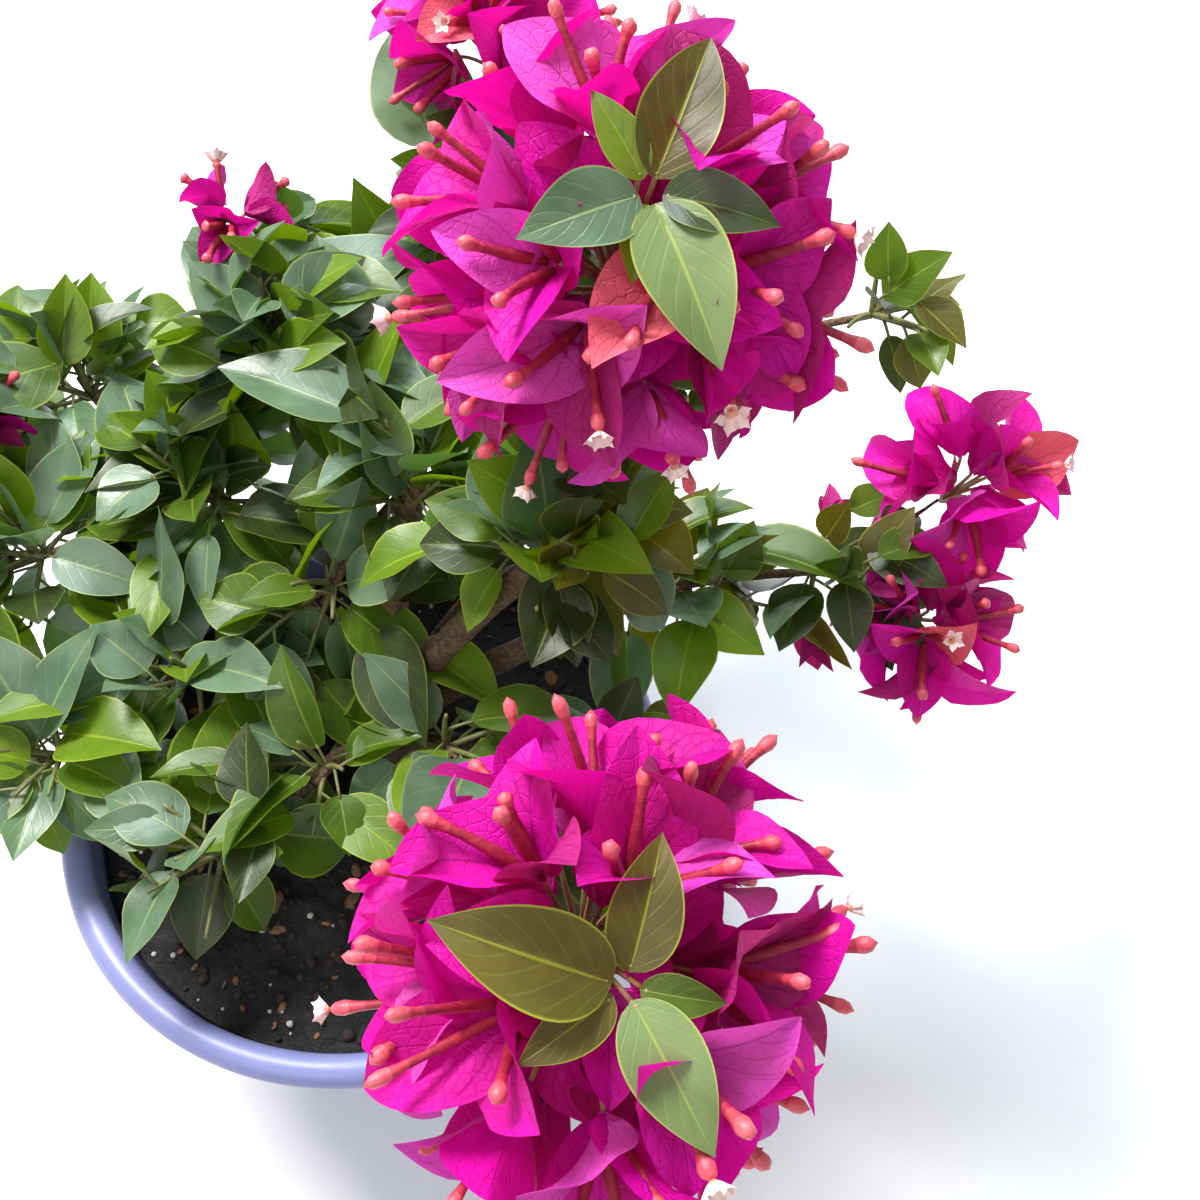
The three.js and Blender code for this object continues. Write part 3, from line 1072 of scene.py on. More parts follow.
@dataclass
class Foliage:
    """Leafy shoots that fill each mass of leaves.

    Attributes:
        seed: start of the random draws.
        spacing: distance between leaves along a shoot.
        leaf_length: shortest and longest leaf.
        aspect: a leaf's width as a share of its length.
        stalk: length of a leaf's stalk.
        shoot_radius: radius of a shoot at its foot.
        outline_limit: how far past a mass's surface a leaf may reach, as a share of its half-size.
        full_mass: half-size from which a mass has leaves of full length, with shorter ones in smaller masses.
        budding: share of the shoots that end in a small unit of young bracts.
    """

    seed: int = 7
    spacing: float = 5.6 * MM
    leaf_length: tuple[float, float] = (34 * MM, 52 * MM)
    aspect: float = 0.62
    stalk: float = 8 * MM
    shoot_radius: float = 1.15 * MM
    outline_limit: float = 1.12
    full_mass: float = 32 * MM
    budding: float = 0.06

    def shoots_of(self, mass: Mass, arrival: np.ndarray, rng: Rng) -> np.ndarray:
        """Shoots that fan out from a mass's middle to points spread evenly inside it.

        Args:
            mass: the mass to fill.
            arrival: the direction in which its branch arrives.
            rng: random draws.
        Returns:
            Paths shaped (shoots, 9, 3).
        """
        count = int(np.clip(round(np.prod(mass.half) ** (1 / 3) / (4.4 * MM)), 5, 12))
        i = np.arange(count) + 0.5
        z = 1 - 1.45 * i / count
        around = GOLDEN_TURN * np.arange(count) + rng.uniform(0, 6.28)
        flat = np.sqrt(np.maximum(1 - z * z, 0))
        way = np.stack([flat * np.cos(around), flat * np.sin(around), z], -1)
        way = unit(way + 0.25 * arrival + rng.normal(0, 0.12, (count, 3)))
        reach = 1 / np.linalg.norm(way / mass.half, axis=-1)
        start = mass.centre - arrival * mass.half.mean() * 0.25 + 0 * way
        end = mass.centre + way * (reach * rng.uniform(0.55, 0.8, count))[:, None]
        middle = (start + end) / 2 + unit(way + UP) * 4 * MM
        return bend(start, middle, end, 8)

    def leaves_on(self, paths: np.ndarray, scale: float, rng: Rng) -> tuple[Blades, np.ndarray]:
        """Alternate leaves along shoots, each a golden turn on from the last, turned to the light.

        Args:
            paths: shoots shaped (shoots, rows, 3).
            scale: leaf size as a share of the full size.
            rng: random draws.
        Returns:
            The leaves, and the place on the shoot where each one's stalk starts.
        """
        legs = np.linalg.norm(np.diff(paths, axis=1), axis=-1)
        lengths = legs.sum(1)
        starts, ways, tips = [], [], []
        for path, length in zip(paths, lengths):
            count = max(3, int(round(length / self.spacing)) + 1)
            share = np.linspace(0.12, 1.0, count)
            at = share * (len(path) - 1)
            low = np.minimum(at.astype(int), len(path) - 2)
            spot = path[low] + (path[low + 1] - path[low]) * (at - low)[:, None]
            along = unit(path[low + 1] - path[low])
            turn = GOLDEN_TURN * np.arange(count) + rng.uniform(0, 6.28)
            out = turned(side_of(along), along, turn)
            forward = 0.45 + 0.9 * (share > 0.95)
            starts.append(spot)
            ways.append(unit(out + forward[:, None] * along + rng.normal(0, 0.15, (count, 3))))
            tips.append(share)
        start, way, share = np.concatenate(starts), np.concatenate(ways), np.concatenate(tips)
        n = len(start)
        way = unit(way + [0, 0, 0.12])
        root = start + way * (self.stalk * rng.uniform(0.6, 1.3, n))[:, None]
        heading = unit(way + np.stack([np.zeros(n), np.zeros(n), rng.uniform(-0.35, 0.1, n)], -1))
        light = unit(np.array([-0.12, 0.1, 1.0]) + 0.5 * way * [1, 1, 0.2] + rng.normal(0, 0.3, (n, 3)))
        face = square_to(light, heading)
        length = scale * rng.uniform(*self.leaf_length, n) * (1 - 0.25 * (share > 0.95))
        width = length * self.aspect * rng.uniform(0.88, 1.14, n)
        leaves = Blades(
            root=root,
            heading=heading,
            face=face,
            length=length,
            width=width,
            droop=rng.uniform(0.1, 0.75, n),
            fold=rng.uniform(0.08, 0.42, n),
            cup=rng.uniform(-0.05, 0.16, n),
            wave=rng.uniform(0.02, 0.09, n),
            pucker=np.full(n, 0.25 * MM),
            twist=rng.normal(0, 0.25, n),
            tone=rng.uniform(0, 1, n),
        )
        return leaves, start

    def trimmed(self, leaves: Blades, stems: np.ndarray, scale: float) -> tuple[Blades, np.ndarray]:
        """Shortens each leaf to what the crown's outline leaves room for, and drops those too short.

        Args:
            leaves: leaves at full length.
            stems: where their stalks start.
            scale: leaf size as a share of the full size.
        Returns:
            The leaves kept and their stalk starts.
        """
        share = np.linspace(0.2, 1, 9)
        reach = leaves.length[:, None] * share
        fall = 0.5 * leaves.droop[:, None] * share * reach
        spots = (
            leaves.root[:, None]
            + leaves.heading[:, None] * reach[..., None]
            - leaves.face[:, None] * fall[..., None]
        )
        inside = depth_in_crown(spots) < self.outline_limit
        good = np.cumprod(inside, axis=1).sum(1)
        allowed = np.where(good > 0, share[np.maximum(good - 1, 0)], 0) * leaves.length
        shrink = allowed / leaves.length
        keep = allowed > 0.66 * scale * self.leaf_length[0]
        leaves.length = leaves.length * shrink
        leaves.width = leaves.width * np.maximum(shrink, 0.75)
        return leaves.chosen(keep), stems[keep]

    def build(self, arrivals: dict[str, np.ndarray], garden: "BractGarden") -> None:
        """Makes shoots, stalks and leaves, the leaves in one piece for each hue.

        Args:
            arrivals: for each mass, the direction in which its branch arrives.
            garden: the pieces that all bracts share.
        """
        rng = np.random.default_rng(self.seed)
        bud_rng = np.random.default_rng(self.seed + 1)
        twigs = Piece("leafy_shoots")
        batches, stems, hues = [], [], []
        for mass in LEAF_MASSES:
            paths = self.shoots_of(mass, arrivals[mass.name], rng)
            radii = self.shoot_radius * np.linspace(1, 0.55, paths.shape[1]) * np.ones((len(paths), 1))
            twigs.add(closed(sweep(paths, radii, 7), paths), rng.uniform(0, 1, len(paths)))
            scale = float(np.clip(mass.half.mean() / self.full_mass, 0.5, 1.0)) ** 1.6
            leaves, stem = self.trimmed(*self.leaves_on(paths, scale, rng), scale)
            self._buds(paths[bud_rng.uniform(0, 1, len(paths)) < self.budding], garden, bud_rng)
            batches.append(leaves)
            stems.append(stem)
            hues.append(self._hues(mass, leaves, rng))
        leaves, stem = Blades.joined(batches), np.concatenate(stems)
        hue = np.concatenate(hues)
        foot = leaves.root + leaves.heading * 1.5 * MM
        stalks = bend(stem, (stem + leaves.root) / 2 + UP * 1.0 * MM, foot, 4)
        radii = np.linspace(0.65, 0.5, 5) * MM * np.ones((len(stem), 1))
        twigs.add(closed(sweep(stalks, radii, 5), stalks), leaves.tone)
        green = SoftFinish("green_stem", screen(112, 122, 62), screen(92, 84, 52), 0.55, 3 * MM)
        twigs.build([green.material()], "bark")
        for number, (kind, finish) in enumerate(LEAF_FINISHES.items()):
            material = finish.material()
            batch = leaves.chosen(hue == number)
            if not len(batch.length):
                continue
            piece = Piece("leaves_" + kind.value)
            piece.add(batch.grid(LEAF_OUTLINE, rng), batch.tone)
            stands_for = [m.name for m in LEAF_MASSES] if kind is Hue.MID else None
            piece.build([material], "leaves", stands_for)
        log.info("%d leaves", len(stem))

    @staticmethod
    def _buds(paths: np.ndarray, garden: "BractGarden", rng: Rng) -> None:
        """Ends shoots in three young bracts, still half closed.

        Args:
            paths: the shoots.
            garden: the pieces that all bracts share.
            rng: random draws.
        """
        if not len(paths):
            return
        stem = np.repeat(unit(paths[:, -1] - paths[:, -2] + 0.4 * UP * MM), 3, 0)
        count = len(stem)
        spin = np.tile(np.arange(3) * 2 * np.pi / 3, len(paths)) + rng.normal(0, 0.15, count)
        out = turned(side_of(stem), stem, spin)
        heading = unit(stem + 0.35 * out)
        length = rng.uniform(16, 22, count) * MM
        blades = Blades(
            root=np.repeat(paths[:, -1], 3, 0) + out * 0.8 * MM,
            heading=heading,
            face=square_to(-out, heading),
            length=length,
            width=length * 0.7,
            droop=rng.uniform(-0.2, 0.2, count),
            fold=rng.uniform(0.2, 0.5, count),
            cup=rng.uniform(0.1, 0.3, count),
            wave=rng.uniform(0.04, 0.1, count),
            pucker=np.full(count, 0.2 * MM),
            twist=rng.normal(0, 0.2, count),
            tone=rng.uniform(0, 1, count),
        )
        garden.add_bracts(Bloom.DUSKY, blades, SMALL_BRACT_OUTLINE, rng)

    @staticmethod
    def _hues(mass: Mass, leaves: Blades, rng: Rng) -> np.ndarray:
        """Deals out hues by place: painted-sheen leaves towards the back and left, painted-light leaves at
        random but fewer to the right, painted-shade leaves low down and to the right, and olive ones to the
        right, partly as painted shade.

        Args:
            mass: the mass that the leaves are in.
            leaves: the leaves.
            rng: random draws.
        Returns:
            The number of each leaf's hue, in the order of LEAF_FINISHES.
        """
        level = (leaves.root[:, 2] - mass.centre[2]) / mass.half[2]
        right = np.clip((mass.centre[0] - 0.02) / 0.12, 0, 1)
        # Painted sheen: bluish-grey leaves dealt towards the back and left, where the sky's sheen falls.
        cool = np.clip(0.5 - 2.4 * mass.centre[0] + 1.2 * (mass.centre[1] - 0.05), 0.04, 0.8)
        draw = rng.uniform(0, 1, (3, len(level)))
        hue = np.where(draw[0] < cool, 0, 1)
        # Painted shade: shaded copies low in each mass and to the right, away from the light.
        hue = np.where(draw[1] < np.clip(0.25 - 0.7 * level, 0.1, 0.7) + 0.4 * right, 2, hue)
        # Partly painted shade: olive leaves only to the right, away from the light.
        hue = np.where(draw[2] > 1 - 0.3 * right, 5, hue)
        # Painted light: lit copies at random, fewer to the right, away from the light.
        return np.where(draw[2] < 0.13 * (1 - 0.7 * right), 3, hue)


# ---- Bract heads --------------------------------------------------------------------------------


class Bloom(Enum):
    """The kinds of bract: full magenta, paler lilac, darker duskier old ones that also paint shade on the
    heads' right sides, and coral young ones.
    """

    MAGENTA = "magenta"
    LILAC = "lilac"
    # Partly painted shade: this darker kind is dealt more to the right, away from the light.
    DUSKY = "dusky"
    CORAL = "coral"


BRACT_FINISHES = {
    Bloom.MAGENTA: BractFinish(
        "bract_magenta", screen(222, 10, 182), screen(206, 14, 142), screen(122, 4, 84), screen(232, 10, 152)
    ),
    Bloom.LILAC: BractFinish(
        "bract_lilac",
        screen(220, 66, 200),
        screen(216, 84, 178),
        screen(150, 22, 112),
        screen(226, 54, 176),
        0.3,
    ),
    # Partly painted shade: a darker copy of the magenta, also for old bracts and buds.
    Bloom.DUSKY: BractFinish(
        "bract_dusky",
        screen(182, 40, 128),
        screen(162, 28, 104),
        screen(102, 8, 62),
        screen(194, 30, 108),
        0.25,
    ),
    Bloom.CORAL: BractFinish(
        "bract_coral",
        screen(222, 84, 110),
        screen(226, 112, 128),
        screen(170, 40, 60),
        screen(240, 90, 90),
        0.25,
    ),
}


@dataclass
class BractHead:
    """A round head of bract units, each of three bracts with a tube before every bract.

    Attributes:
        node: its CAD node.
        axis: the direction in which it grows.
        bract: length of a full bract.
        tilts: lean of its first and last unit from the axis, in degrees.
        units: how many units stand round it.
        inner: how many smaller units fill it below those.
        inner_tilt: lean of the first of the smaller units, in degrees.
        tuft: hues of the leaves that spread from its middle, in the order in which they grow.
        leaf: length of a leaf of the tuft.
        tuft_depth: how far below the head's top the tuft's leaves start.
        outline: how finely its bracts are cut.
        opened: share of the tubes whose flowers are open.
        tubed: share of the bracts that have a tube.
        seed: start of its random draws.
    """

    node: str
    axis: tuple[float, float, float]
    bract: float
    tilts: tuple[float, float] = (8.0, 112.0)
    units: int = 7
    inner: int = 0
    inner_tilt: float = 4.0
    tuft: tuple[Hue, ...] = ()
    leaf: float = 35 * MM
    tuft_depth: float = 13 * MM
    outline: BladeOutline = SMALL_BRACT_OUTLINE
    opened: float = 0.12
    tubed: float = 1.0
    seed: int = 1

    def __post_init__(self) -> None:
        """Works out the head's own directions and where its stalks start."""
        self.mass = MASSES[self.node]
        self.up = unit(np.array(self.axis, float))
        self.right = square_to(np.array([1.0, 0.0, 0.0]), self.up)
        self.ahead = np.cross(self.up, self.right)
        self.base = self.mass.centre - self.up * self.mass.half.mean() * 0.45
        self.top = 1 / np.linalg.norm(self.up / self.mass.half)

    def grow(self, garden: "BractGarden") -> None:
        """Adds this head to the garden's pieces.

        Args:
            garden: the pieces that all heads share.
        """
        rng = np.random.default_rng(self.seed)
        self._units(garden, self.units, 1.0, rng)
        if self.inner:
            self._units(garden, self.inner, 0.62, rng)
        if self.tuft:
            self._tuft(garden, rng)

    def _ways(self, tilt: np.ndarray, clock: np.ndarray) -> np.ndarray:
        """Directions that lean from the axis by tilt, towards clock round it."""
        level = np.cos(clock)[:, None] * self.right + np.sin(clock)[:, None] * self.ahead
        return np.cos(tilt)[:, None] * self.up + np.sin(tilt)[:, None] * level

    def _units(self, garden: "BractGarden", n: int, depth: float, rng: Rng) -> None:
        """Spreads units evenly over the head between its two leans, each a golden turn on from the last.

        Args:
            garden: the pieces that all heads share.
            n: how many units.
            depth: how far out they reach, as a share of the mass.
            rng: random draws.
        """
        first, last = self.tilts
        low, high = np.cos(np.radians([first if depth == 1 else self.inner_tilt, last]))
        tilt = np.arccos(low + (high - low) * (np.arange(n) + 0.5) / n)
        way = self._ways(tilt, GOLDEN_TURN * np.arange(n) + rng.uniform(0, 6.28) + rng.normal(0, 0.12, n))
        size = rng.uniform(0.86, 1.1, n) * depth**0.5
        reach = depth / np.linalg.norm(way / self.mass.half, axis=-1)
        foot = self.mass.centre + way * np.maximum(reach - self.bract * 0.85 * size, 4 * MM)[:, None]
        stalks = bend(self.base + 0 * foot, (self.base + foot) / 2 + self.up * 4 * MM, foot, 7)
        radii = np.linspace(0.9, 0.6, 8) * MM * np.ones((n, 1))
        garden.stems.add(closed(sweep(stalks, radii, 6), stalks), 0.3)
        spin = rng.uniform(0, 6.28, (n, 1)) + np.arange(3) * 2 * np.pi / 3 + rng.normal(0, 0.16, (n, 3))
        stem, root, size = (np.repeat(x, 3, 0) for x in (way, foot, size))
        out = turned(side_of(stem), stem, spin.ravel())
        count = 3 * n
        length = self.bract * size * rng.uniform(0.88, 1.1, count)
        begin = np.radians(rng.uniform(14, 30, count))
        opening = np.radians(rng.uniform(46, 78, count))
        heading = np.cos(begin)[:, None] * stem + np.sin(begin)[:, None] * out
        blades = Blades(
            root=root + out * 1.2 * MM,
            heading=heading,
            face=square_to(stem - 0.4 * out, heading),
            length=length,
            width=length * rng.uniform(0.62, 0.8, count),
            droop=opening - begin + 0.2,
            fold=rng.uniform(0.15, 0.5, count),
            cup=rng.uniform(0.1, 0.35, count),
            wave=rng.uniform(0.05, 0.16, count),
            pucker=rng.uniform(0.2, 0.45, count) * MM,
            twist=rng.normal(0, 0.4, count),
            tone=rng.uniform(0, 1, count),
        )
        kinds = self._kinds(stem, rng)
        clear = self._clear_of_tuft(blades.root + heading * length[:, None])
        for number, kind in enumerate(Bloom):
            garden.add_bracts(kind, blades.chosen(clear & (kinds == number)), self.outline, rng)
        if depth < 1:
            return
        reach = garden.tube_share * length * rng.uniform(0.8, 1.15, count)
        lean = rng.uniform(0.2, 0.7, count)[:, None]
        aim = unit(stem + lean * out + rng.normal(0, 0.08, (count, 3)))
        start = root + out * 1.6 * MM + stem * 3 * MM
        opened = rng.uniform(0, 1, count) < self.opened
        has = (rng.uniform(0, 1, count) < self.tubed) & self._clear_of_tuft(start + aim * reach[:, None])
        garden.add_tubes(start[has], (start + aim * reach[:, None])[has], stem[has], opened[has], rng)

    def _clear_of_tuft(self, tips: np.ndarray) -> np.ndarray:
        """Which tips don't rise through the tuft, whose leaves slope up by about a third of their reach.

        Args:
            tips: the ends of bracts or tubes.
        Returns:
            A mask.
        """
        if not self.tuft:
            return np.ones(len(tips), bool)
        gap = tips - self.mass.centre
        height = gap @ self.up
        across = np.linalg.norm(gap - height[:, None] * self.up, axis=-1)
        under_tuft = height < self.top - self.tuft_depth + 0.36 * across - 2 * MM
        return (across > 0.75 * self.leaf) | under_tuft

    def _kinds(self, stem: np.ndarray, rng: Rng) -> np.ndarray:
        """Deals out kinds: coral young bracts near the axis, more of the darker kind to the right as painted
        shade, some lilac ones.

        Args:
            stem: the direction in which each bract's unit grows.
            rng: random draws.
        Returns:
            The number of each bract's kind, in the order of Bloom.
        """
        draw = rng.uniform(0, 1, (3, len(stem)))
        kinds = np.where(draw[0] < 0.2, 1, 0)
        # Painted shade: more of the darker kind on the right, away from the light.
        kinds = np.where(draw[1] < 0.12 + 0.3 * np.clip(stem @ self.right, 0, 1), 2, kinds)
        return np.where((draw[2] < 0.3) & (stem @ self.up > 0.85), 3, kinds)

    def _tuft(self, garden: "BractGarden", rng: Rng) -> None:
        """Adds the leaves that spread from the head's middle, each a golden turn on and shorter.

        Args:
            garden: the pieces that all heads share.
            rng: random draws.
        """
        n = len(self.tuft)
        lean = np.radians(rng.uniform(62, 80, n))
        heading = self._ways(lean, GOLDEN_TURN * np.arange(n) + rng.uniform(0, 6.28))
        root = self.mass.centre + self.up * (self.top - self.tuft_depth) + heading * 3 * MM
        length = self.leaf * np.linspace(1.1, 0.5, n)
        blades = Blades(
            root=root,
            heading=heading,
            face=square_to(self.up, heading),
            length=length,
            width=length * rng.uniform(0.46, 0.6, n),
            droop=rng.uniform(0.3, 0.6, n),
            fold=rng.uniform(0.12, 0.4, n),
            cup=rng.uniform(0.0, 0.08, n),
            wave=rng.uniform(0.02, 0.06, n),
            pucker=0.15 * MM * np.ones(n),
            twist=rng.normal(0, 0.12, n),
            tone=rng.uniform(0, 1, n),
        )
        for hue in Hue:
            batch = blades.chosen(np.array([leaf_hue is hue for leaf_hue in self.tuft]))
            if len(batch.length):
                garden.leaves[hue].add(batch.grid(FINE_LEAF_OUTLINE, rng), batch.tone)
        stalks = bend(self.base + 0 * root, (self.base + root) / 2, root + heading * 1.5 * MM, 6)
        radii = np.linspace(0.8, 0.55, 7) * MM * np.ones((n, 1))
        garden.stems.add(closed(sweep(stalks, radii, 7), stalks), 0.6)


@dataclass
class BractGarden:
    """The pieces that all heads share: bracts, tubes, open flowers, stems and head leaves.

    Attributes:
        tube_radius: a tube's radius at its knob.
        tube_share: a tube's length as a share of its bract's.
    """

    tube_radius: float = 2.0 * MM
    tube_share: float = 0.82
    bracts: dict[Bloom, Piece] = field(
        default_factory=lambda: {kind: Piece("bracts_" + kind.value) for kind in Bloom}
    )
    tubes: Piece = field(default_factory=lambda: Piece("flower_tubes"))
    stars: Piece = field(default_factory=lambda: Piece("open_flowers"))
    stems: Piece = field(default_factory=lambda: Piece("flower_stems"))
    leaves: dict[Hue, Piece] = field(
        default_factory=lambda: {hue: Piece("head_leaves_" + hue.value) for hue in Hue}
    )

    def add_bracts(self, kind: Bloom, blades: Blades, outline: BladeOutline, rng: Rng) -> None:
        """Adds bracts of one kind."""
        if len(blades.length):
            self.bracts[kind].add(blades.grid(outline, rng), blades.tone)

    def add_tubes(
        self, start: np.ndarray, end: np.ndarray, out: np.ndarray, opened: np.ndarray, rng: Rng
    ) -> None:
        """Adds tubes, and a star on each one that is open.

        A tube's radius goes from a narrow foot over a slight swelling and a waist to a rounded knob,
        with five ribs round it.

        Args:
            start, end: where each begins and ends.
            out: the direction towards which each bows.
            opened: which of them are open.
            rng: random draws.
        """
        n = len(start)
        middle = (start + end) / 2 + out * 1.2 * MM + rng.normal(0, 0.8 * MM, (n, 3))
        rows = 18
        path = bend(start, middle, end, rows)
        t = np.linspace(0, 1, rows + 1)
        swell = np.exp(-(((t - 0.9) / 0.085) ** 2))
        profile = 0.46 + 0.2 * np.sin(np.pi * np.clip(t / 0.6, 0, 1)) + 0.14 * t + 0.34 * swell
        profile *= np.where(t > 0.9, np.sqrt(np.clip(1 - ((t - 0.9) / 0.1) ** 2, 0, 1)), 1.0)
        ribs = 1 + 0.08 * np.cos(5 * np.linspace(0, 2 * np.pi, 11))
        plump = self.tube_radius * rng.uniform(0.85, 1.08, n)
        radii = plump[:, None, None] * profile[None, :, None] * ribs
        slots = np.searchsorted([0.72, 0.84], (t[1:] + t[:-1]) / 2)
        grid = closed(sweep(path, radii, 10), path)[:, :-1]
        self.tubes.add(grid, rng.uniform(0, 1, n), np.append(0, slots))
        self._stars(end[opened], unit(end - middle)[opened], rng)

    def _stars(self, at: np.ndarray, way: np.ndarray, rng: Rng) -> None:
        """Adds five-lobed frilled flowers at the tubes' ends.

        The rim's radius goes as 1 + 0.22 cos 5a + 0.08 cos 15a, and the flower is cupped like a saucer.

        Args:
            at: their middles.
            way: the directions that they face.
            rng: random draws.
        """
        n = len(at)
        if not n:
            return
        angle = np.linspace(0, 2 * np.pi, 31)
        rings = np.array([0.0, 0.2, 0.45, 0.75, 1.0])
        rim = 1 + 0.22 * np.cos(5 * angle) + 0.08 * np.cos(15 * angle)
        radius = (3.4 * MM * rng.uniform(0.8, 1.1, n))[:, None, None]
        r = radius * rings[None, :, None] * (1 + (rim - 1)[None, None] * rings[None, :, None])
        side = side_of(way)
        other = np.cross(way, side)
        height = radius * (1.0 * rings**1.4 - 0.2)[None, :, None]
        height = height + 0.14 * radius * np.cos(10 * angle) * rings[None, :, None]
        across = (r * np.cos(angle))[..., None] * side[:, None, None]
        across = across + (r * np.sin(angle))[..., None] * other[:, None, None]
        self.stars.add(
            at[:, None, None] + across + height[..., None] * way[:, None, None],
            rng.uniform(0, 1, n),
            np.array([1, 1, 0, 0]),
        )

    def build(self) -> None:
        """Makes the objects."""
        for kind, piece in self.bracts.items():
            stands_for = [m.name for m in BRACT_MASSES] if kind is Bloom.MAGENTA else None
            piece.build([BRACT_FINISHES[kind].material()], "bracts", stands_for)
        shaft = SoftFinish("tube_shaft", screen(134, 16, 46), screen(168, 44, 66), 0.5, 2 * MM)
        neck = SoftFinish("tube_neck", screen(174, 44, 66), screen(192, 66, 80), 0.5, 2 * MM)
        knob = SoftFinish("tube_knob", screen(206, 66, 88), screen(218, 100, 106), 0.45, 2 * MM)
        self.tubes.build([shaft.material(), neck.material(), knob.material()], "bracts")
        cream = SoftFinish("petal_cream", screen(250, 236, 224), screen(246, 206, 206), 0.6, 1 * MM)
        throat = SoftFinish("petal_throat", screen(222, 140, 112), screen(228, 180, 150), 0.6, 1 * MM)
        self.stars.build([cream.material(), throat.material()], "bracts")
        green = SoftFinish("flower_stem", screen(150, 150, 92), screen(168, 104, 88), 0.55, 3 * MM)
        self.stems.build([green.material()], "bracts")
        for hue, piece in self.leaves.items():
            if piece.count:
                piece.build([bpy.data.materials["leaf_" + hue.value]], "leaves")


HEADS = (
    BractHead(
        node="bract_mass_upper",
        axis=(0.10, -0.48, 0.87),
        bract=35 * MM,
        tilts=(22.0, 134.0),
        units=26,
        inner=14,
        # The tuft's leaves include painted-sheen, painted-shade and painted-light copies.
        tuft=(Hue.SAGE, Hue.OLIVE, Hue.COOL, Hue.DARK, Hue.BRIGHT, Hue.BRIGHT),
        outline=BRACT_OUTLINE,
        opened=0.07,
        seed=21,
    ),
    BractHead(
        node="bract_mass_lower",
        axis=(0.14, -0.40, 0.90),
        bract=35 * MM,
        tilts=(22.0, 134.0),
        units=26,
        inner=14,
        tuft=(Hue.OLIVE, Hue.SAGE, Hue.OLIVE, Hue.OLIVE, Hue.MID),
        outline=BRACT_OUTLINE,
        opened=0.04,
        seed=33,
    ),
    BractHead(
        "bract_mass_right_high", (0.25, -0.2, 0.95), 32 * MM, units=6, inner=3, opened=0.1, tubed=0.4, seed=41
    ),
    BractHead(
        "bract_mass_right_low", (0.05, -0.6, 0.8), 32 * MM, units=6, inner=3, opened=0.1, tubed=0.4, seed=43
    ),
    BractHead("bract_mass_top", (-0.1, -0.15, 0.97), 33 * MM, units=9, inner=3, seed=47),
    BractHead("bract_mass_back", (0.1, 0.7, 0.7), 31 * MM, units=6, inner=2, seed=53),
    BractHead("bract_mass_left", (-0.6, 0.1, 0.8), 30 * MM, units=5, inner=2, seed=59),
    BractHead("bract_mass_bud", (-0.2, 0.1, 0.97), 16 * MM, units=3, seed=61),
)


# ---- Pot and potting mix ------------------------------------------------------------------------


@dataclass
class Pot:
    """A round tapered pot with a thick rounded lip.

    Attributes:
        wall, floor: thickness of wall and floor.
        rim_band: height of the thicker band under the lip.
        rim_width: from the inner wall to the outside of the lip.
        lip_radius: rounding of the lip.
        base_share: the underside's radius as a share of the rim's.
        foot_radius: rounding where the wall meets the underside.
        sides: sides of the turned surface.
    """

    wall: float = 3 * MM
    floor: float = 4 * MM
    rim_band: float = 20 * MM
    rim_width: float = 11 * MM
    lip_radius: float = 5 * MM
    base_share: float = 65 / 110
    foot_radius: float = 2 * MM
    sides: int = 160

    def __post_init__(self) -> None:
        """Reads the pot's size from the frame."""
        low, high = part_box("pot")
        self.rim = (high[0] - low[0]) / 2
        self.height = high[2]
        self.base = self.rim * self.base_share
        self.inner_top = self.rim - self.rim_width

    def outline(self) -> np.ndarray:
        """The wall's outline, from the middle of the underside out, up and over to the inner floor.

        Returns:
            Points of (radius, height).
        """
        band = self.height - self.rim_band
        under = self.inner_top + self.wall
        turn = np.linspace(-np.pi / 2, 0, 6)
        foot = np.stack(
            [
                self.base - self.foot_radius + self.foot_radius * np.cos(turn),
                self.foot_radius + self.foot_radius * np.sin(turn),
            ],
            -1,
        )
        wall = np.linspace([self.base, self.foot_radius], [under, band - 4 * MM], 14)[1:]
        step = [[under + 0.6 * MM, band - 2.6 * MM], [self.rim - 5.2 * MM, band - 0.9 * MM]]
        band_wall = [
            [self.rim - 4.2 * MM, band],
            [self.rim - 3.6 * MM, band + 1.2 * MM],
            [self.rim - 1.2 * MM, self.height - 2.2 * self.lip_radius],
        ]
        turn = np.linspace(0, np.pi, 17)
        inset = np.linspace(0, self.rim_width - 2 * self.lip_radius, 17)
        lip = np.stack(
            [
                self.rim - self.lip_radius - inset + self.lip_radius * np.cos(turn),
                self.height - self.lip_radius + self.lip_radius * np.sin(turn),
            ],
            -1,
        )
        inner_foot = self.base - self.wall + (under - self.base) * self.floor / band
        inner = np.linspace([self.inner_top, band], [inner_foot, self.floor], 8)
        return np.concatenate([[[0, 0]], foot, wall, step, band_wall, lip, inner, [[0, self.floor]]])

    def build(self) -> None:
        """Makes the pot."""
        piece = Piece("pot_wall")
        piece.add(lathe(self.outline(), self.sides))
        finish = PotFinish("pot_plastic", screen(116, 121, 170), screen(134, 139, 186), screen(120, 116, 118))
        piece.build([finish.material()], "pot", ["pot"])


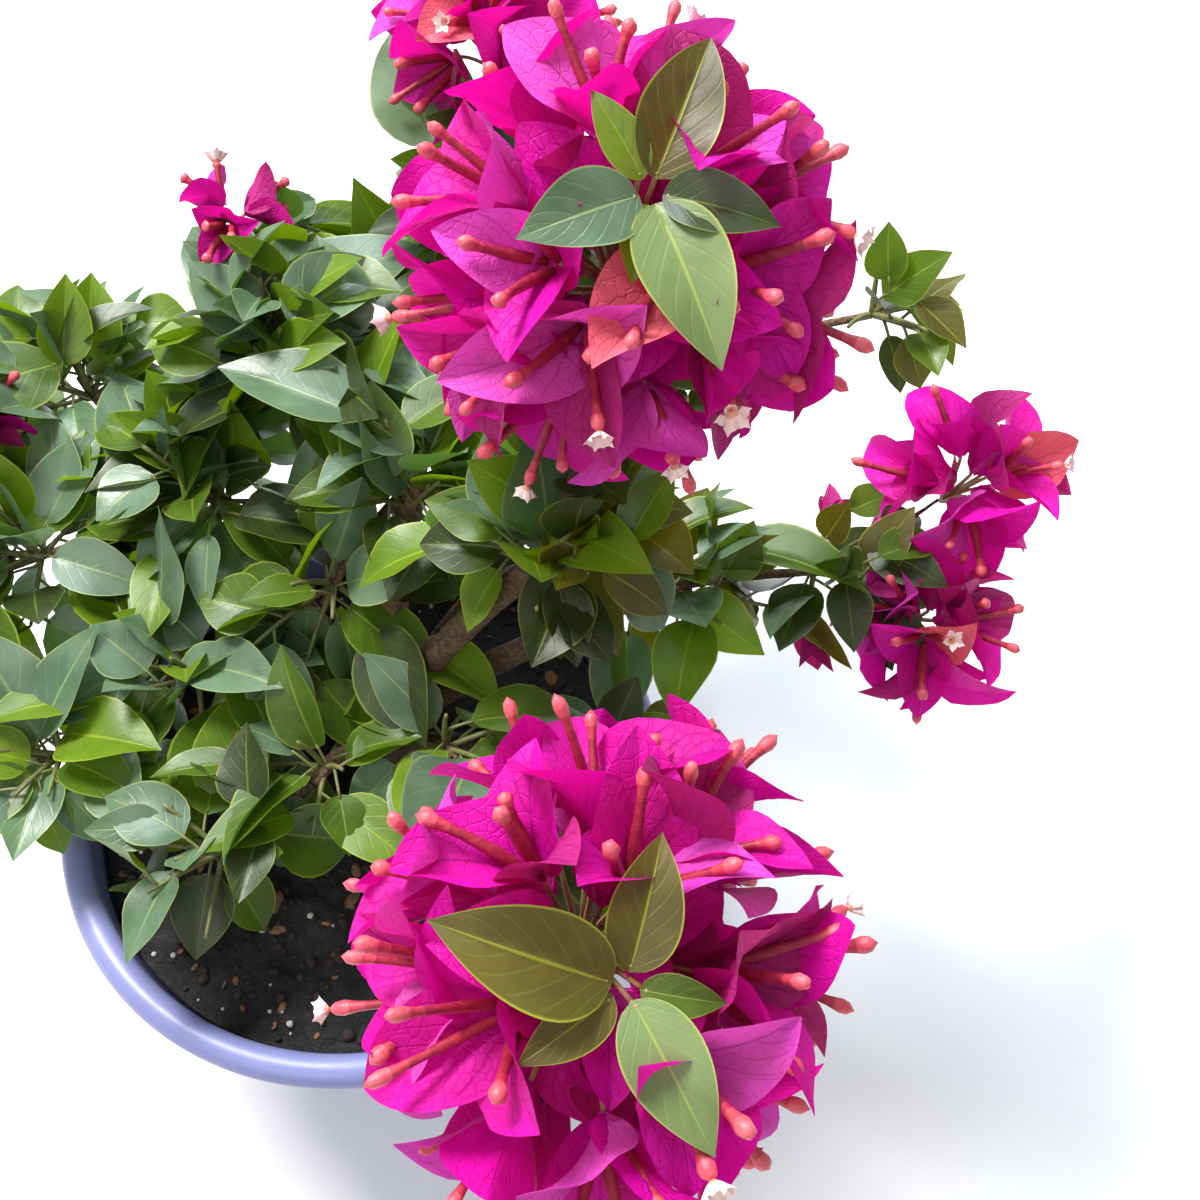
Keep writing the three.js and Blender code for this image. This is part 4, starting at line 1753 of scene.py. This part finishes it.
@dataclass
class PottingMix:
    """The mix in the pot: an uneven surface with crumbs, bark chips and perlite on it.

    Attributes:
        rings, sides: the surface's grid.
        swell: height of its broad lumps.
        crumb: height of its small lumps.
        seed: start of the random draws.
    """

    rings: int = 90
    sides: int = 240
    swell: float = 1.6 * MM
    crumb: float = 1.3 * MM
    seed: int = 17

    def __post_init__(self) -> None:
        """Reads the mix's size from the frame."""
        low, high = (np.array(c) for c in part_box("potting_mix"))
        self.radius = (high[0] - low[0]) / 2
        self.top, self.bottom = high[2], low[2]
        self.crown = 3 * MM

    def level(self, x: np.ndarray, y: np.ndarray) -> np.ndarray:
        """Height of the surface: a low dome plus broad and small lumps.

        Args:
            x, y: places.
        Returns:
            Heights.
        """
        spot = np.stack([x, y, np.full_like(x, 0.3)], -1)
        share = np.hypot(x, y) / self.radius
        dome = self.top - self.crown * np.clip(share * 1.3 - 0.3, 0, 1) - 1.2 * MM
        broad = self.swell * lattice_noise(spot, 16 * MM, 3)
        small = self.crumb * lattice_noise(spot, 4.5 * MM, 4) + 0.7 * MM * lattice_noise(spot, 1.9 * MM, 5)
        return dome + broad + small

    def build(self) -> None:
        """Makes the surface and what lies on it."""
        piece = Piece("potting_mix_surface")
        share = np.linspace(0, 1, self.rings + 1)[:, None] ** 0.8
        angle = np.linspace(0, 2 * np.pi, self.sides + 1)[None]
        x, y = self.radius * share * np.cos(angle), self.radius * share * np.sin(angle)
        z = self.level(x, y)
        z[:, -1] = z[:, 0]
        z[0] = z[0, 0]
        pot = Pot()
        depth = self.top - self.crown - self.bottom
        skirt_share = np.linspace(0, 1, 8)[1:, None]
        inner_foot = pot.base - pot.wall
        skirt_radius = self.radius + (inner_foot - self.radius) * skirt_share
        skirt = np.stack(
            [
                skirt_radius * np.cos(angle),
                skirt_radius * np.sin(angle),
                self.top - self.crown - 3 * MM - (depth - 3 * MM) * skirt_share + 0 * angle,
            ],
            -1,
        )
        foot = np.broadcast_to([0, 0, self.bottom], skirt[:1].shape)
        top = np.stack([x, y, z], -1)
        piece.add(np.concatenate([top, skirt, foot])[None, ::-1])
        mix = MixFinish("mix", screen(11, 9, 10), screen(30, 23, 21), screen(92, 80, 72))
        piece.build([mix.material()], "potting_mix", ["potting_mix"])
        self._litter()

    def _litter(self) -> None:
        """Scatters crumbs, chips and perlite, each an uneven ball of 6 by 8 faces, over the surface."""
        rng = np.random.default_rng(self.seed)
        kinds = (
            ("mix_crumbs", 520, 1.1, 3.0, (0.75, 0.75, 0.6), screen(34, 27, 26), screen(62, 48, 40)),
            ("bark_chips", 150, 1.0, 3.4, (1.3, 0.8, 0.35), screen(92, 62, 42), screen(150, 110, 78)),
            ("perlite", 110, 0.6, 1.7, (0.9, 0.9, 0.8), screen(176, 170, 166), screen(220, 216, 212)),
        )
        for name, count, small, large, shape, face, blush in kinds:
            piece = Piece(name)
            size = (small + (large - small) * rng.uniform(0, 1, count) ** 2.2) * MM
            reach = self.radius * np.sqrt(rng.uniform(0, 0.94, count))
            around = rng.uniform(0, 2 * np.pi, count)
            at = np.stack([reach * np.cos(around), reach * np.sin(around)], -1)
            centre = np.concatenate([at, (self.level(at[:, 0], at[:, 1]) + 0.25 * size)[:, None]], 1)
            piece.add(self._lumps(centre, size, np.array(shape), rng), rng.uniform(0, 1, count))
            rough = SoftFinish(name + "_skin", face, blush, 0.85, 1.5 * MM, 0.5 * MM)
            piece.build([rough.material()], "potting_mix")

    @staticmethod
    def _lumps(centre: np.ndarray, size: np.ndarray, shape: np.ndarray, rng: Rng) -> np.ndarray:
        """Uneven balls, turned at random.

        Args:
            centre: their middles.
            size: their radii.
            shape: how they are stretched along their own axes.
            rng: random draws.
        Returns:
            Grids shaped (count, 7, 9, 3).
        """
        n = len(size)
        down, around = np.meshgrid(np.linspace(np.pi, 0, 7), np.linspace(0, 2 * np.pi, 9), indexing="ij")
        ball = np.stack([np.sin(down) * np.cos(around), np.sin(down) * np.sin(around), np.cos(down)], -1)
        uneven = 1 + 0.3 * lattice_noise(ball[None] + rng.uniform(0, 50, (n, 1, 1, 3)), 0.8, 9)
        grid = ball[None] * uneven[..., None] * shape
        yaw, pitch = rng.uniform(0, 2 * np.pi, n), rng.normal(0, 0.35, n)
        grid = turned(grid, np.array([1.0, 0, 0]), np.broadcast_to(pitch[:, None, None], grid.shape[:-1]))
        grid = turned(grid, UP, np.broadcast_to(yaw[:, None, None], grid.shape[:-1]))
        return centre[:, None, None] + grid * size[:, None, None, None]


# ---- Studio -------------------------------------------------------------------------------------


@dataclass(frozen=True)
class Lamp:
    """A square soft light.

    Attributes:
        name: its name.
        at: where it stands.
        aim: what it shines on.
        size: its side.
        power: watts.
        colour: its colour.
    """

    name: str
    at: tuple[float, float, float]
    aim: tuple[float, float, float]
    size: float
    power: float
    colour: tuple[float, float, float]


@dataclass
class Studio:
    """Pale floor, soft lights and the camera.

    Attributes:
        lens, sensor: the camera's, in millimetres.
        look_down: how far below the level it looks, in degrees.
        stand: the camera's place from the middle of the rim, in rim radii.
        lamps: the lights.
        sky: brightness of the surroundings.
    """

    lens: float = 39.0
    sensor: float = 36.0
    look_down: float = 58.0
    stand: tuple[float, float, float] = (0.7845, -1.8082, 3.9673)
    sky: float = 0.5
    lamps: tuple[Lamp, ...] = (
        Lamp("key", (-0.55, 0.45, 1.5), (0.05, 0.0, 0.25), 0.4, 34.0, (1.0, 0.98, 0.95)),
        Lamp("cool_back", (-0.05, 1.05, 1.5), (0.0, 0.05, 0.22), 0.8, 26.0, (0.82, 0.92, 1.0)),
        Lamp("fill", (-0.3, -1.0, 1.4), (0.05, 0.0, 0.22), 1.0, 7.0, (1.0, 1.0, 1.0)),
    )

    def camera(self) -> None:
        """Sets the camera up from the pot's rim."""
        low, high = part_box("pot")
        rim = (high[0] - low[0]) / 2
        data = bpy.data.cameras.new("camera")
        data.lens, data.sensor_width = self.lens, self.sensor
        data.clip_start = 0.01
        camera = bpy.data.objects.new("camera", data)
        bpy.context.scene.collection.objects.link(camera)
        camera.location = (rim * self.stand[0], rim * self.stand[1], high[2] + rim * self.stand[2])
        camera.rotation_euler = (math.radians(90 - self.look_down), 0, 0)
        bpy.context.scene.camera = camera

    def light(self) -> None:
        """Adds the lamps and the surroundings."""
        for lamp in self.lamps:
            data = bpy.data.lights.new(lamp.name, "AREA")
            data.shape, data.size, data.energy, data.color = "SQUARE", lamp.size, lamp.power, lamp.colour
            thing = bpy.data.objects.new(lamp.name, data)
            bpy.context.scene.collection.objects.link(thing)
            thing.location = lamp.at
            aim = np.array(lamp.aim) - np.array(lamp.at)
            level = math.hypot(aim[0], aim[1])
            thing.rotation_euler = (math.atan2(level, -aim[2]), 0, math.atan2(aim[1], aim[0]) - math.pi / 2)
        world = bpy.data.worlds.new("surroundings")
        world.use_nodes = True
        back = world.node_tree.nodes["Background"]
        back.inputs["Color"].default_value = (0.93, 0.96, 1.0, 1.0)
        back.inputs["Strength"].default_value = self.sky
        bpy.context.scene.world = world
        bpy.context.scene.view_settings.view_transform = "Standard"

    def floor(self) -> None:
        """Adds the pale floor."""
        half = 6.0
        corners = np.array([[-half, -half, 0], [half, -half, 0], [half, half, 0], [-half, half, 0]])
        mesh = bpy.data.meshes.new("floor")
        mesh.from_pydata(corners, [], np.array([[0, 1, 2, 3]]))
        t = ShaderTree("floor")
        mesh.materials.append(t.finish(t.skin(Base_Color=(0.9, 0.9, 0.9, 1.0), Roughness=0.9)))
        floor = bpy.data.objects.new("floor", mesh)
        bpy.context.scene.collection.objects.link(floor)

    def build(self) -> None:
        """Makes the studio."""
        self.camera()
        self.light()
        self.floor()


def main() -> None:
    """Builds the bush, part by part."""
    logging.basicConfig(level=logging.INFO, format="%(name)s: %(message)s")
    Studio().build()
    Pot().build()
    PottingMix().build()
    arrivals = Wood().build()
    garden = BractGarden()
    Foliage().build(arrivals, garden)
    for head in HEADS:
        head.grow(garden)
    garden.build()


if __name__ == "__main__":
    main()
